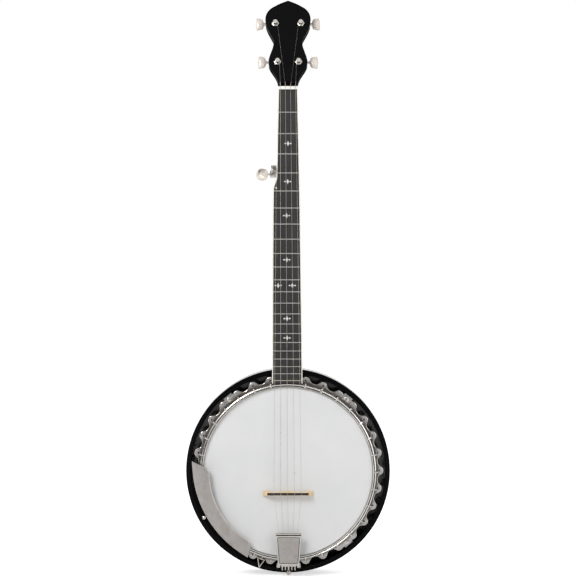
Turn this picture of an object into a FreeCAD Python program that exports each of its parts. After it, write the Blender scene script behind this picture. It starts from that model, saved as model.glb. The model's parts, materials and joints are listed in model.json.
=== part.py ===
import FreeCAD, Part
import math
import os
import re
import Sketcher
from FreeCAD import Placement, Rotation, Vector

# Resonator banjo. +Z runs up the neck, +X is right as seen from the front, the face looks along -Y.
# The origin is the centre of the resonator's flat back face. All sizes are in millimetres.
# Depths are counted forward from the back face, so a depth d lies at y = -d.

SIZES = [
    ("resonator_radius", 169.8), ("resonator_depth", 70.0), ("wall_thickness", 8.3),
    ("back_thickness", 6.0), ("back_rounding", 4.5), ("heel_notch_width", 36.0), ("heel_notch_floor", 31.0),
    ("rim_outer", 139.0), ("rim_inner", 119.0), ("rim_back", 14.0), ("rim_front", 77.0),
    ("rim_waist", 136.4), ("tone_inner", 127.0), ("tone_front", 91.9),
    ("flange_back", 66.0), ("flange_thickness", 2.6), ("flange_inner", 136.5),
    ("flange_tip", 158.6), ("flange_valley", 150.2),
    ("head_back", 92.0), ("head_thickness", 0.4), ("head_skirt", 139.4),
    ("hoop_inner", 140.4), ("hoop_outer", 145.6), ("hoop_back", 89.2), ("hoop_front", 97.6),
    ("hoop_groove_in", 142.0), ("hoop_groove_out", 144.6), ("hoop_groove_depth", 2.7),
    ("flesh_inner", 139.9), ("flesh_outer", 142.8), ("flesh_back", 84.6),
    ("hook_circle", 147.4), ("hook_radius", 1.5), ("hook_positions", 32), ("hook_front", 99.2),
    ("hook_tip_circle", 143.3), ("hook_tip_depth", 95.0), ("hook_back", 50.0),
    ("nut_across", 7.0), ("nut_back", 42.0),
    ("rod_front_depth", 54.0), ("rod_back_depth", 38.0), ("rod_radius", 4.5), ("bolt_radius", 3.1),
    ("scale_length", 666.75), ("nut_front_z", 631.4), ("fret_count", 22),
    ("board_front", 101.0), ("board_thickness", 5.0), ("board_end_circle", 148.4),
    ("fret_height", 1.1), ("fret_width", 2.0), ("fret_tang", 0.6), ("binding_width", 1.5),
    ("inlay_depth", 1.2), ("nut_length", 5.2), ("nut_front", 103.2),
    ("neck_depth_nut", 13.6), ("neck_depth_low", 16.5), ("heel_depth", 64.0),
    ("truss_radius", 2.4), ("truss_depth", 90.5),
    ("head_tilt", 14.0), ("head_root_z", 637.0), ("head_root_depth", 97.5),
    ("head_wood", 13.0), ("overlay", 1.6),
    ("post_upper_x", 21.2), ("post_upper_s", 110.8), ("post_lower_x", 17.5), ("post_lower_s", 42.6),
    ("post_radius", 3.0), ("post_height", 9.5), ("bushing_wall", 1.84), ("post_clearance", 0.06),
    ("worm_offset", 6.4), ("worm_depth", 5.2), ("worm_pitch_radius", 2.2), ("wheel_teeth", 14),
    ("worm_span", 9.6), ("shaft_radius", 1.5), ("shaft_gap", 0.05), ("button_start", 18.4),
    ("button_length", 14.1), ("button_wide", 20.4), ("button_narrow", 12.0), ("button_thick", 8.6),
    ("fifth_x", -22.6), ("fifth_post_z", 500.6), ("fifth_worm_offset", 8.4),
    ("fifth_worm_radius", 3.8), ("fifth_gear_depth", 86.0), ("fifth_post_front", 112.0),
    ("fifth_post_radius", 2.6), ("fifth_button_radius", 10.3), ("fifth_button_x", -42.4),
    ("pip_x", -19.5), ("pip_gap", 4.75),
    ("bridge_z", -35.3), ("bridge_foot_width", 82.6), ("bridge_top_width", 66.0),
    ("bridge_height", 14.6), ("bridge_foot", 8.8), ("bridge_crest", 2.8), ("bridge_cap", 1.6),
    ("string_spacing", 11.3), ("tail_spacing", 5.25),
    ("tail_x", 1.0), ("tail_top_z", -100.8), ("tail_low_z", -151.6), ("tail_top_width", 42.0),
    ("tail_low_width", 34.6), ("tail_front", 110.6), ("tail_wall", 1.4), ("tail_base_depth", 101.6),
    ("hinge_z", -153.6), ("hinge_depth", 104.8), ("hinge_radius", 1.2),
    ("knob_z", -164.7), ("knob_above_wall", 14.0), ("knob_radius", 4.2), ("knob_rod", 1.5),
    ("rest_start", 205.4), ("rest_end", 276.7), ("rest_inner", 129.0), ("rest_outer", 159.8),
    ("rest_outer_low", 154.8), ("rest_slant_low", 1.8), ("rest_slant_high", 4.0),
    ("rest_waist", 152.4), ("rest_back", 103.2), ("rest_thickness", 1.6), ("rest_lip", 5.2),
    ("rest_corner", 8.5), ("strap_wire", 0.95), ("strap_above_wall", 5.6),
]

doc = FreeCAD.newDocument("Banjo")
sheet = doc.addObject("Spreadsheet::Sheet", "Sizes")
for row, (alias, value) in enumerate(SIZES, start=1):
    sheet.set("A%d" % row, alias)
    sheet.set("B%d" % row, str(value))
    sheet.setAlias("B%d" % row, alias)
doc.recompute()

ALIASES = {alias for alias, value in SIZES}
nodes = []


def size(alias):
    """The number in one named cell of the sheet."""
    return float(sheet.get(alias))


def linked(text):
    """Turns bare cell names in an expression into references to the sheet."""
    return re.sub(r"[a-z][a-z_]*", lambda m: "Sizes." + m.group() if m.group() in ALIASES else m.group(), text)


# ---- PartDesign helpers -------------------------------------------------------------------------

def new_body(label):
    body = doc.addObject("PartDesign::Body", label)
    body.Label = label
    nodes.append(body)
    return body


def new_sketch(body, role, name, offset=None):
    """A sketch on one origin plane of its own body, moved along the plane's normal by an expression."""
    plane = [item for item in body.Origin.OriginFeatures if item.Role == role][0]
    sketch = body.newObject("Sketcher::SketchObject", name)
    sketch.AttachmentSupport = [(plane, "")]
    sketch.MapMode = "FlatFace"
    if offset:
        sketch.setExpression("AttachmentOffset.Base.z", linked(offset))
    return sketch


def add_polygon(sketch, corners):
    """A closed polygon whose corner coordinates are expressions over the sheet."""
    first = sketch.GeometryCount
    count = len(corners)
    for i in range(count):
        a = 2 * math.pi * i / count
        b = 2 * math.pi * (i + 1) / count
        start = Vector(50 + 10 * math.cos(a), 10 * math.sin(a), 0)
        end = Vector(50 + 10 * math.cos(b), 10 * math.sin(b), 0)
        sketch.addGeometry(Part.LineSegment(start, end))
    for i in range(count):
        sketch.addConstraint(Sketcher.Constraint("Coincident", first + i, 2, first + (i + 1) % count, 1))
    for i, corner in enumerate(corners):
        for kind, text in zip(("DistanceX", "DistanceY"), corner):
            index = sketch.addConstraint(Sketcher.Constraint(kind, -1, 1, first + i, 1, 1.0))
            sketch.setExpression("Constraints[%d]" % index, linked(text))


def add_circle(sketch, x, y, radius):
    first = sketch.GeometryCount
    sketch.addGeometry(Part.Circle(Vector(5, 5, 0), Vector(0, 0, 1), 4))
    for kind, text in (("DistanceX", x), ("DistanceY", y)):
        index = sketch.addConstraint(Sketcher.Constraint(kind, -1, 1, first, 3, 5.0))
        sketch.setExpression("Constraints[%d]" % index, linked(text))
    index = sketch.addConstraint(Sketcher.Constraint("Radius", first, 4.0))
    sketch.setExpression("Constraints[%d]" % index, linked(radius))


def revolved_ring(label, profile):
    """A ring about the pot's axis: the profile's corners are (radius, depth) expressions."""
    body = new_body(label)
    sketch = new_sketch(body, "XY_Plane", label + "_profile")
    add_polygon(sketch, [(radius, "-(%s)" % depth) for radius, depth in profile])
    turn = body.newObject("PartDesign::Revolution", label + "_turned")
    turn.Profile = sketch
    turn.ReferenceAxis = (sketch, ["V_Axis"])
    turn.Angle = 360
    doc.recompute()
    return body


def pad(body, sketch, length, symmetric=False, reverse=False):
    feature = body.newObject("PartDesign::Pad", sketch.Name + "_pad")
    feature.Profile = sketch
    feature.setExpression("Length", linked(length))
    if symmetric:
        feature.SideType = "Symmetric"
    feature.Reversed = reverse
    doc.recompute()
    return feature


def pocket(body, sketch, length, symmetric=False, reverse=False):
    feature = body.newObject("PartDesign::Pocket", sketch.Name + "_pocket")
    feature.Profile = sketch
    feature.setExpression("Length", linked(length))
    if symmetric:
        feature.SideType = "Symmetric"
    feature.Reversed = reverse
    doc.recompute()
    return feature


def fillet(body, radius, wanted):
    """Rounds every edge of the body's tip for which wanted(edge) holds."""
    tip = body.Tip
    names = ["Edge%d" % (i + 1) for i, edge in enumerate(tip.Shape.Edges) if wanted(edge)]
    feature = body.newObject("PartDesign::Fillet", body.Name + "_fillet")
    feature.Base = (tip, names)
    feature.setExpression("Radius", linked(radius))
    doc.recompute()
    return feature


# ---- plain solids for the shapes that sketches do not fit ---------------------------------------

def add_shape(label, shape, placement=None):
    feature = doc.addObject("Part::Feature", label)
    feature.Label = label
    feature.Shape = shape
    if placement:
        feature.Placement = placement
    nodes.append(feature)
    return feature


def box(x0, x1, y0, y1, z0, z1):
    return Part.makeBox(x1 - x0, y1 - y0, z1 - z0, Vector(x0, y0, z0))


def rod(start, end, radius):
    start = Vector(*start)
    run = Vector(*end) - start
    return Part.makeCylinder(radius, run.Length, start, run)


def prism(points, direction):
    """A polygon pushed along a direction."""
    corners = [Vector(*p) for p in points]
    return Part.Face(Part.makePolygon(corners + corners[:1])).extrude(Vector(*direction))


def hexagon(centre, axis, across, length):
    """A hexagonal bar across its flats, starting at centre."""
    radius = across / math.sqrt(3)
    corners = [Vector(radius * math.cos(math.radians(60 * i)), radius * math.sin(math.radians(60 * i)), 0)
               for i in range(6)]
    bar = Part.Face(Part.makePolygon(corners + corners[:1])).extrude(Vector(0, 0, length))
    bar.Placement = Placement(Vector(*centre), Rotation(Vector(0, 0, 1), Vector(*axis)))
    return bar


def wire_run(points, radius):
    """A round wire through the points, with a ball at each bend."""
    shape = rod(points[0], points[1], radius)
    for here, after in zip(points[1:], points[2:]):
        shape = shape.fuse(Part.makeSphere(1.04 * radius, Vector(*here)))
        shape = shape.fuse(rod(here, after, radius))
    return shape


def around(angle, radius, depth):
    """A point at a clockwise angle from the top, seen from the front."""
    a = math.radians(angle)
    return (radius * math.sin(a), -depth, radius * math.cos(a))


def turned(shape, angle):
    """The shape turned clockwise about the pot's axis, seen from the front."""
    copy = shape.copy()
    copy.rotate(Vector(0, 0, 0), Vector(0, 1, 0), angle)
    return copy


def blended(table, z):
    """Monotone cubic interpolation in a table of (z, value) rows that runs downward in z."""
    if z >= table[0][0]:
        return table[0][1]
    if z <= table[-1][0]:
        return table[-1][1]
    slopes = [(b[1] - a[1]) / (b[0] - a[0]) for a, b in zip(table, table[1:])]
    tangents = [slopes[0]]
    for before, after in zip(slopes, slopes[1:]):
        tangents.append(2 * before * after / (before + after) if before * after > 0 else 0.0)
    tangents.append(slopes[-1])
    for i, ((z0, v0), (z1, v1)) in enumerate(zip(table, table[1:])):
        if z >= z1:
            run = z1 - z0
            t = (z - z0) / run
            return ((2 * t ** 3 - 3 * t ** 2 + 1) * v0 + (t ** 3 - 2 * t ** 2 + t) * run * tangents[i]
                    + (3 * t ** 2 - 2 * t ** 3) * v1 + (t ** 3 - t ** 2) * run * tangents[i + 1])


# ---- resonator ----------------------------------------------------------------------------------

R = size("resonator_radius")
back = revolved_ring("resonator_back", [
    ("0", "0"), ("resonator_radius", "0"), ("resonator_radius", "back_thickness"), ("0", "back_thickness")])
fillet(back, "back_rounding", lambda e: abs(e.Length - 2 * math.pi * R) < 0.01 and abs(e.Vertexes[0].Y) < 0.01)

wall = revolved_ring("resonator_wall", [
    ("resonator_radius - wall_thickness", "back_thickness"), ("resonator_radius", "back_thickness"),
    ("resonator_radius", "resonator_depth - 1"), ("resonator_radius - 1", "resonator_depth"),
    ("resonator_radius - wall_thickness + 1", "resonator_depth"),
    ("resonator_radius - wall_thickness", "resonator_depth - 1")])
notch = new_sketch(wall, "XY_Plane", "heel_notch")
add_polygon(notch, [
    ("-heel_notch_width / 2", "-resonator_depth - 1"), ("heel_notch_width / 2", "-resonator_depth - 1"),
    ("heel_notch_width / 2", "-heel_notch_floor"), ("-heel_notch_width / 2", "-heel_notch_floor")])
pocket(wall, notch, "resonator_radius + 5", reverse=True)

LUG_ANGLES = [39.375, 140.625, 219.375, 320.625]
lug = box(-8, 8, -65.8, -44, 148.5, 160.2)
lug = lug.cut(rod((0, -70, 153), (0, -40, 153), 2.3))
lug = lug.common(Part.makeCylinder(R - size("wall_thickness") - 0.1, 80, Vector(0, 0, 0), Vector(0, -1, 0)))
add_shape("resonator_lugs", Part.makeCompound([turned(lug, a) for a in LUG_ANGLES]))

flange_front = size("flange_back") + size("flange_thickness")
screw = rod((0, -flange_front, 153), (0, -flange_front - 3.4, 153), 4.2)
screw = screw.cut(box(-5, 5, -flange_front - 4, -flange_front - 2.2, 152.4, 153.6))
screw = screw.fuse(rod((0, -flange_front, 153), (0, -46, 153), 2.2))
add_shape("resonator_screws", Part.makeCompound([turned(screw, a) for a in LUG_ANGLES]))

# ---- pot ----------------------------------------------------------------------------------------

rim = revolved_ring("rim", [
    ("rim_inner", "rim_back"), ("rim_waist", "rim_back"), ("rim_waist", "flange_back + flange_thickness"),
    ("rim_outer", "flange_back + flange_thickness"), ("rim_outer", "rim_front"), ("rim_inner", "rim_front")])
for name, reach in (("rim_neck_holes", False), ("rim_tail_holes", True)):
    holes = new_sketch(rim, "XY_Plane", name)
    for depth in ("rod_front_depth", "rod_back_depth"):
        add_circle(holes, "0", "-" + depth, "bolt_radius + 0.1")
    pocket(rim, holes, "rim_outer + 5", reverse=not reach)

revolved_ring("tone_ring", [
    ("tone_inner", "rim_front"), ("rim_outer", "rim_front"), ("rim_outer", "tone_front - 1.5"),
    ("rim_outer - 1.5", "tone_front"), ("rim_outer - 3", "tone_front"),
    ("rim_outer - 8", "tone_front - 3.4"), ("tone_inner", "tone_front - 3.4")])

revolved_ring("flesh_hoop", [
    ("flesh_inner", "flesh_back"), ("flesh_outer", "flesh_back"), ("flesh_outer", "hoop_back - 0.1"),
    ("flesh_inner", "hoop_back - 0.1")])

revolved_ring("head", [
    ("0", "head_back"), ("head_skirt - 0.3", "head_back"), ("head_skirt - 0.3", "flesh_back + 0.6"),
    ("head_skirt + 0.1", "flesh_back + 0.6"), ("head_skirt + 0.1", "head_back"),
    ("head_skirt - 0.3", "head_back + head_thickness"), ("0", "head_back + head_thickness")])

hoop = revolved_ring("tension_hoop", [
    ("hoop_inner", "hoop_back"), ("hoop_outer", "hoop_back"), ("hoop_outer", "hoop_front"),
    ("hoop_groove_out", "hoop_front"), ("hoop_groove_out", "hoop_front - hoop_groove_depth"),
    ("hoop_groove_in", "hoop_front - hoop_groove_depth"), ("hoop_groove_in", "hoop_front"),
    ("hoop_inner", "hoop_front")])

# The flange is a plate with one rounded lobe for each hook, cut away at the neck and the tail.
POSITIONS = int(size("hook_positions"))
PITCH = 360.0 / POSITIONS
lobe_edge = []
tip, valley = size("flange_tip"), size("flange_valley")
for step in range(POSITIONS):
    for part, radius in ((-0.5, valley), (-0.33, valley + 0.9), (-0.2, tip - 3.2), (-0.11, tip - 0.6),
                         (0.0, tip), (0.11, tip - 0.6), (0.2, tip - 3.2), (0.33, valley + 0.9)):
        lobe_edge.append(Vector(*around((step + part) * PITCH, radius, size("flange_back"))))
outline = Part.BSplineCurve()
outline.interpolate(lobe_edge, PeriodicFlag=True)
thickness = Vector(0, -size("flange_thickness"), 0)
flange = Part.Face(Part.Wire(outline.toShape())).extrude(thickness)
half = PITCH / 2
for angle in LUG_ANGLES:
    corners = [around(angle - half, 144, 0), around(angle - half - 1.1, tip - 0.9, 0),
               around(angle, (tip - 0.9) / math.cos(math.radians(half + 1.1)) * 0.994, 0),
               around(angle + half + 1.1, tip - 0.9, 0), around(angle + half, 144, 0)]
    bridge_plate = prism([(x, -size("flange_back"), z) for x, y, z in corners], (0, -size("flange_thickness"), 0))
    flange = flange.fuse(bridge_plate)
flange = flange.cut(Part.makeCylinder(size("flange_inner"), 20, Vector(0, -60, 0), Vector(0, -1, 0)))
HOOK_ANGLES = [step * PITCH for step in range(POSITIONS) if step % (POSITIONS // 2) != 0]
hook_hole = rod(around(0, size("hook_circle"), 60), around(0, size("hook_circle"), 75), size("hook_radius") + 0.4)
slot_hole = rod(around(0, size("hook_circle") + 4.6, 60), around(0, size("hook_circle") + 4.6, 75), 1.7)
cutters = [turned(hook_hole, a) for a in HOOK_ANGLES]
cutters += [turned(slot_hole, a) for a in HOOK_ANGLES
            if min(abs(a - lug_angle) for lug_angle in LUG_ANGLES) > half + 0.1]
screw_hole = rod((0, -60, 153), (0, -75, 153), 2.4)
cutters += [turned(screw_hole, a) for a in LUG_ANGLES]
notch_half = size("heel_notch_width") / 2
cutters.append(box(-notch_half, notch_half, -75, -60, 120, 170))
cutters.append(box(size("tail_x") - 8, size("tail_x") + 8, -75, -60, -151.6, -146.6))
flange = flange.cut(Part.makeCompound(cutters))
add_shape("flange", flange)

tip_point = around(0, size("hook_tip_circle"), size("hook_tip_depth"))
hook = wire_run([around(0, size("hook_circle"), size("hook_back")),
                 around(0, size("hook_circle"), size("hook_front")),
                 around(0, size("hook_tip_circle"), size("hook_front"))], size("hook_radius"))
hook = hook.fuse(Part.makeSphere(size("hook_radius"), Vector(*around(0, size("hook_tip_circle"), size("hook_front")))))
hook = hook.fuse(rod(around(0, size("hook_tip_circle"), size("hook_front")), tip_point, 1.1))
add_shape("bracket_hooks", Part.makeCompound([turned(hook, a) for a in HOOK_ANGLES]))

nut_length = size("flange_back") - size("nut_back")
long_nut = hexagon(around(0, size("hook_circle"), size("nut_back")), (0, -1, 0), size("nut_across"), nut_length)
bore_end = around(0, size("hook_circle"), size("flange_back") + 1)
long_nut = long_nut.cut(rod(around(0, size("hook_circle"), size("hook_back") - 3), bore_end, size("hook_radius") + 0.05))
add_shape("bracket_nuts", Part.makeCompound([turned(long_nut, a) for a in HOOK_ANGLES]))

# ---- coordinator rods and their bolts -----------------------------------------------------------

rod_end = size("rim_inner") - 0.3
rods = []
bolts = []
for depth, stud_end in ((size("rod_front_depth"), -157.0), (size("rod_back_depth"), -146.0)):
    bar = rod((0, -depth, -rod_end), (0, -depth, rod_end), size("rod_radius"))
    bore = rod((0, -depth, -rod_end - 1), (0, -depth, -rod_end + 20), size("bolt_radius") + 0.05)
    top_bore = rod((0, -depth, rod_end - 20), (0, -depth, rod_end + 1), size("bolt_radius") + 0.05)
    rods.append(bar.cut(bore).cut(top_bore))
    bolts.append(rod((0, -depth, -rod_end + 15), (0, -depth, stud_end), size("bolt_radius")))
    bolts.append(rod((0, -depth, rod_end - 15), (0, -depth, 158), size("bolt_radius")))
add_shape("coordinator_rods", Part.makeCompound(rods))
add_shape("coordinator_bolts", Part.makeCompound(bolts))

stud_nuts = []
for depth, seat in ((size("rod_front_depth"), -152.6), (size("rod_back_depth"), -size("rim_waist") - 0.1)):
    stud_nut = hexagon((0, -depth, seat), (0, 0, -1), 10.0, 3.6)
    stud_nuts.append(stud_nut.cut(rod((0, -depth, seat + 1), (0, -depth, seat - 5), size("bolt_radius") + 0.05)))
add_shape("coordinator_nuts", Part.makeCompound(stud_nuts))

# ---- fingerboard --------------------------------------------------------------------------------

board_back = -(size("board_front") - size("board_thickness"))
board_face = -size("board_front")
RIGHT_EDGE = [(631.4, 16.2), (531.6, 18.4), (449.0, 20.1), (367.0, 21.3), (284.0, 22.4), (202.0, 23.4), (140.0, 23.9)]
LEFT_EDGE = [(631.4, 16.2), (531.6, 18.3), (495.0, 18.9), (488.0, 19.1), (483.0, 19.6), (479.0, 20.8), (475.5, 22.6),
             (472.0, 23.9), (468.0, 24.6), (462.0, 24.9), (449.0, 25.0), (367.0, 25.6), (284.0, 25.9), (202.0, 26.1),
             (140.0, 26.2)]


BOARD_Z = [631.4 - 4.2 * i for i in range(118)]


def board_prism(inset, y_back, y_front):
    """The board's outline between its two edge tables, moved in by inset and given a depth."""
    edges = []
    ends = []
    for side, table in ((1, RIGHT_EDGE), (-1, LEFT_EDGE)):
        run = [Vector(side * (blended(table, z) - inset), y_back, z) for z in BOARD_Z]
        curve = Part.BSplineCurve()
        curve.interpolate(run)
        edges.append(curve.toShape())
        ends.append((run[0], run[-1]))
    edges.append(Part.makeLine(ends[0][0], ends[1][0]))
    edges.append(Part.makeLine(ends[0][1], ends[1][1]))
    face = Part.Face(Part.Wire(Part.__sortEdges__(edges)))
    return face.extrude(Vector(0, y_front - y_back, 0))


nut_z = size("nut_front_z")
end_cut = Part.makeCylinder(size("board_end_circle"), 40, Vector(0, -80, 0), Vector(0, -1, 0))
full_board = board_prism(0, board_back, board_face).cut(end_cut)
inner_board = board_prism(size("binding_width"), board_back, board_face).cut(end_cut)
scale = size("scale_length")
fret_z = [nut_z - scale * (1 - 2 ** (-n / 12.0)) for n in range(1, int(size("fret_count")) + 1)]

tang = size("fret_tang") / 2
slots = []
frets = []
for z in fret_z:
    right_x = blended(RIGHT_EDGE, z) - size("binding_width") - 0.15
    left_x = -blended(LEFT_EDGE, z) + size("binding_width") + 0.15
    slots.append(box(-40, 40, board_face - 1, board_face + 2.0, z - tang - 0.03, z + tang + 0.03))
    rise = size("fret_height")
    half_width = size("fret_width") / 2
    crown = prism([(left_x, board_face, z - half_width), (left_x, board_face - 0.55 * rise, z - 0.85 * half_width),
                   (left_x, board_face - 0.92 * rise, z - 0.42 * half_width), (left_x, board_face - rise, z),
                   (left_x, board_face - 0.92 * rise, z + 0.42 * half_width),
                   (left_x, board_face - 0.55 * rise, z + 0.85 * half_width), (left_x, board_face, z + half_width)],
                  (right_x - left_x, 0, 0))
    frets.append(crown.fuse(box(left_x, right_x, board_face - 0.3, board_face + 1.9, z - tang, z + tang)))

# Each inlay mark is a slim diamond with two small diamonds beside it.
MARKS = [(542.3, 0.0), (479.5, 0.0), (423.4, 0.0), (350.6, 0.0), (308.2, -14.3), (308.2, 9.0), (253.7, 0.0), (221.8, 0.0)]
marks = []
sockets = []
for z, x in MARKS:
    centre = x + (blended(RIGHT_EDGE, z) - blended(LEFT_EDGE, z)) / 2
    for dx, wide, tall in ((0.0, 4.4, 9.0), (-4.4, 4.2, 2.8), (4.4, 4.2, 2.8)):
        for kit, grow in ((marks, 0.0), (sockets, 0.03)):
            w, h = wide / 2 + grow, tall / 2 + grow
            y0 = board_face + size("inlay_depth") + grow
            depth = size("inlay_depth") + grow
            kit.append(prism([(centre + dx - w, y0, z), (centre + dx, y0, z - h), (centre + dx + w, y0, z),
                              (centre + dx, y0, z + h)], (0, -depth - (0.5 if grow else 0.0), 0)))
pip_z = fret_z[4] + size("pip_gap")
pip_hole = rod((size("pip_x"), board_back, pip_z), (size("pip_x"), board_face - 1, pip_z), 1.35)
board = inner_board.cut(Part.makeCompound(slots)).cut(Part.makeCompound(sockets)).cut(pip_hole)
add_shape("fingerboard", board)
add_shape("frets", Part.makeCompound(frets))
add_shape("inlays", Part.makeCompound(marks))
add_shape("fifth_string_pip", rod((size("pip_x"), board_back, pip_z),
                                  (size("pip_x"), -size("nut_front") + 0.2, pip_z), 1.3))

dots = []
dot_holes = []
for fret in (3, 5, 7, 10, 12, 15, 17):
    z = (fret_z[fret - 1] + fret_z[fret - 2]) / 2
    x = -blended(LEFT_EDGE, z)
    y = (board_back + board_face) / 2
    dots.append(rod((x - 0.02, y, z), (x + 1.0, y, z), 0.9))
    dot_holes.append(rod((x - 1.0, y, z), (x + 1.03, y, z), 0.93))
binding = full_board.cut(inner_board).cut(Part.makeCompound(dot_holes))
add_shape("fingerboard_binding", binding)
add_shape("side_dots", Part.makeCompound(dots))

# ---- neck ---------------------------------------------------------------------------------------

NECK_DEPTH = [(645.0, 13.4), (631.0, size("neck_depth_nut")), (560.0, 14.4), (300.0, size("neck_depth_low")),
              (225.0, size("neck_depth_low") + 0.6), (208.0, 18.5), (196.0, 23.0), (186.0, 31.0), (178.0, 40.0),
              (170.0, 47.5), (160.0, 53.0), (148.0, 56.0), (134.0, size("heel_depth"))]
ROUNDNESS = [(650.0, 0.25), (640.0, 0.5), (631.0, 0.85), (600.0, 1.0), (230.0, 1.0), (200.0, 0.9), (178.0, 0.72),
             (134.0, 0.62)]
HEEL_WIDTH = [(230.0, 1.0), (200.0, 0.9), (178.0, 0.76), (160.0, 0.70), (134.0, 0.68)]


def neck_section(z, y_top):
    """A closed section: a straight front edge and a rounded back, a superellipse |cos|^p, |sin|^p."""
    right = blended(RIGHT_EDGE, z)
    left = blended(LEFT_EDGE, z)
    depth = blended(NECK_DEPTH, z)
    power = blended(ROUNDNESS, z)
    squeeze = blended(HEEL_WIDTH, z) if z < 230 else 1.0
    points = []
    steps = 20
    for i in range(steps + 1):
        a = math.pi * i / steps
        c, s = math.cos(a), math.sin(a)
        side = right if c > 0 else left
        y = depth * abs(s) ** power
        narrow = 1.0 - (1.0 - squeeze) * min(1.0, y / 20.0)
        points.append(Vector(math.copysign(side * abs(c) ** power, c) * narrow, y_top + y, z))
    curve = Part.BSplineCurve()
    curve.interpolate(points)
    return Part.Wire([curve.toShape(), Part.makeLine(points[-1], points[0])])


tilt = math.radians(size("head_tilt"))
root_z = size("head_root_z")
wood_front = -size("head_root_depth") + size("overlay") / math.cos(tilt)
SECTION_Z = [134, 142, 150, 160, 170, 178, 186, 196, 208, 225, 260, 300, 360, 420, 455, 462, 468, 472, 475.5, 479,
             483, 488, 495, 530, 580, 631]
low = Part.makeLoft([neck_section(z, board_back) for z in SECTION_Z], True, True)
volute_sections = [neck_section(631, board_back), neck_section(640, wood_front + 3 * math.tan(tilt)),
                   neck_section(650, wood_front + 13 * math.tan(tilt))]
volute = Part.makeLoft(volute_sections, True, True)

head_spot = Placement(Vector(0, -size("head_root_depth"), root_z), Rotation(Vector(1, 0, 0), 90 - size("head_tilt")))
HEAD_OUTLINE = [(15.9, 0.0), (16.6, 6.0), (18.6, 13.0), (22.6, 20.5), (28.0, 29.0), (31.2, 35.5), (32.0, 42.5),
                (30.6, 51.0), (26.6, 60.5), (23.9, 68.0), (23.2, 76.0), (25.6, 83.0), (30.6, 92.5), (35.2, 102.5),
                (37.3, 112.0), (37.1, 120.0), (34.0, 129.5), (28.6, 136.0), (20.6, 142.3), (11.0, 147.2), (0.0, 151.6)]


def head_plate(z_back, z_front, start):
    """The headstock outline as a slab in its own frame: x across, y up the head, z out of its face."""
    side = [Vector(x, y, z_back) for x, y in HEAD_OUTLINE if y >= start]
    curve = Part.BSplineCurve()
    curve.interpolate(side)
    mirrored = Part.BSplineCurve()
    mirrored.interpolate([Vector(-p.x, p.y, p.z) for p in side])
    base = Part.makeLine(Vector(-side[0].x, side[0].y, z_back), side[0])
    face = Part.Face(Part.Wire(Part.__sortEdges__([curve.toShape(), mirrored.toShape(), base])))
    return face.extrude(Vector(0, 0, z_front - z_back))


POSTS = [("upper_left", -size("post_upper_x"), size("post_upper_s")),
         ("upper_right", size("post_upper_x"), size("post_upper_s")),
         ("lower_left", -size("post_lower_x"), size("post_lower_s")),
         ("lower_right", size("post_lower_x"), size("post_lower_s"))]
head_back_face = -size("overlay") - size("head_wood")
bushing_bore = size("post_radius") + size("post_clearance")
bushing_sleeve = bushing_bore + size("bushing_wall")
bores = Part.makeCompound([Part.makeCylinder(bushing_sleeve + 0.08, 40, Vector(x, y, -30))
                           for name, x, y in POSTS])
overlay = head_plate(-size("overlay"), 0, 6.0).cut(bores)
wood = head_plate(head_back_face, -size("overlay"), 6.0).cut(bores)
wood.Placement = head_spot
neck = low.fuse(volute).fuse(wood)
neck = neck.cut(Part.makeCylinder(size("rim_outer") + 0.1, 60, Vector(0, -30, 0), Vector(0, -1, 0)))
neck = neck.cut(Part.makeCylinder(size("hoop_outer") + 0.7, 20, Vector(0, -82.5, 0), Vector(0, -1, 0)))
for depth in (size("rod_front_depth"), size("rod_back_depth")):
    neck = neck.cut(rod((0, -depth, 130), (0, -depth, 159), size("bolt_radius") + 0.05))
truss_y = -size("truss_depth")
neck = neck.cut(rod((0, truss_y, 158), (0, truss_y, 690), size("truss_radius") + 0.1))
truss_pocket = box(-4.2, 4.2, -20, 1, 8, 30)
truss_pocket.Placement = head_spot
neck = neck.cut(truss_pocket)
neck = neck.cut(rod((0, truss_y, root_z - 2.1), (0, truss_y, 690), 3.3))
stem_z = size("fifth_post_z") - size("fifth_worm_offset")
neck = neck.cut(rod((-25, -size("fifth_gear_depth"), stem_z), (-9, -size("fifth_gear_depth"), stem_z), 2.05))
add_shape("neck", neck)
overlay_slot = box(-4.2, 4.2, -5, 1, 8, 30)
add_shape("headstock_overlay", overlay.cut(overlay_slot), head_spot)
truss = rod((0, truss_y, 160), (0, truss_y, root_z + 9.0), size("truss_radius"))
truss = truss.fuse(rod((0, truss_y, root_z - 2.0), (0, truss_y, root_z + 8.0), 3.2))
add_shape("truss_rod", truss)
cover = prism([(-5.2, 8.6, 0), (5.2, 8.6, 0), (8.6, 20, 0), (9.4, 28, 0), (7.0, 35, 0), (0, 41.5, 0), (-7.0, 35, 0),
               (-9.4, 28, 0), (-8.6, 20, 0)], (0, 0, 2.0))
for x, y in ((0, 37.5), (-5.8, 14.5), (5.8, 14.5)):
    cover = cover.fuse(Part.makeCylinder(1.5, 0.8, Vector(x, y, 1.8)))
add_shape("truss_rod_cover", cover, head_spot)

string_x = [(i - 1.5) * 8.35 for i in range(4)]
nut_body = box(-16.2, 16.2, -size("nut_front"), board_back, nut_z, nut_z + size("nut_length"))
for x in string_x:
    nut_body = nut_body.cut(box(x - 0.45, x + 0.45, -size("nut_front") - 1, -size("nut_front") + 0.9, nut_z - 1, nut_z + 9))
add_shape("nut", nut_body)

# ---- geared tuners ------------------------------------------------------------------------------

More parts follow.
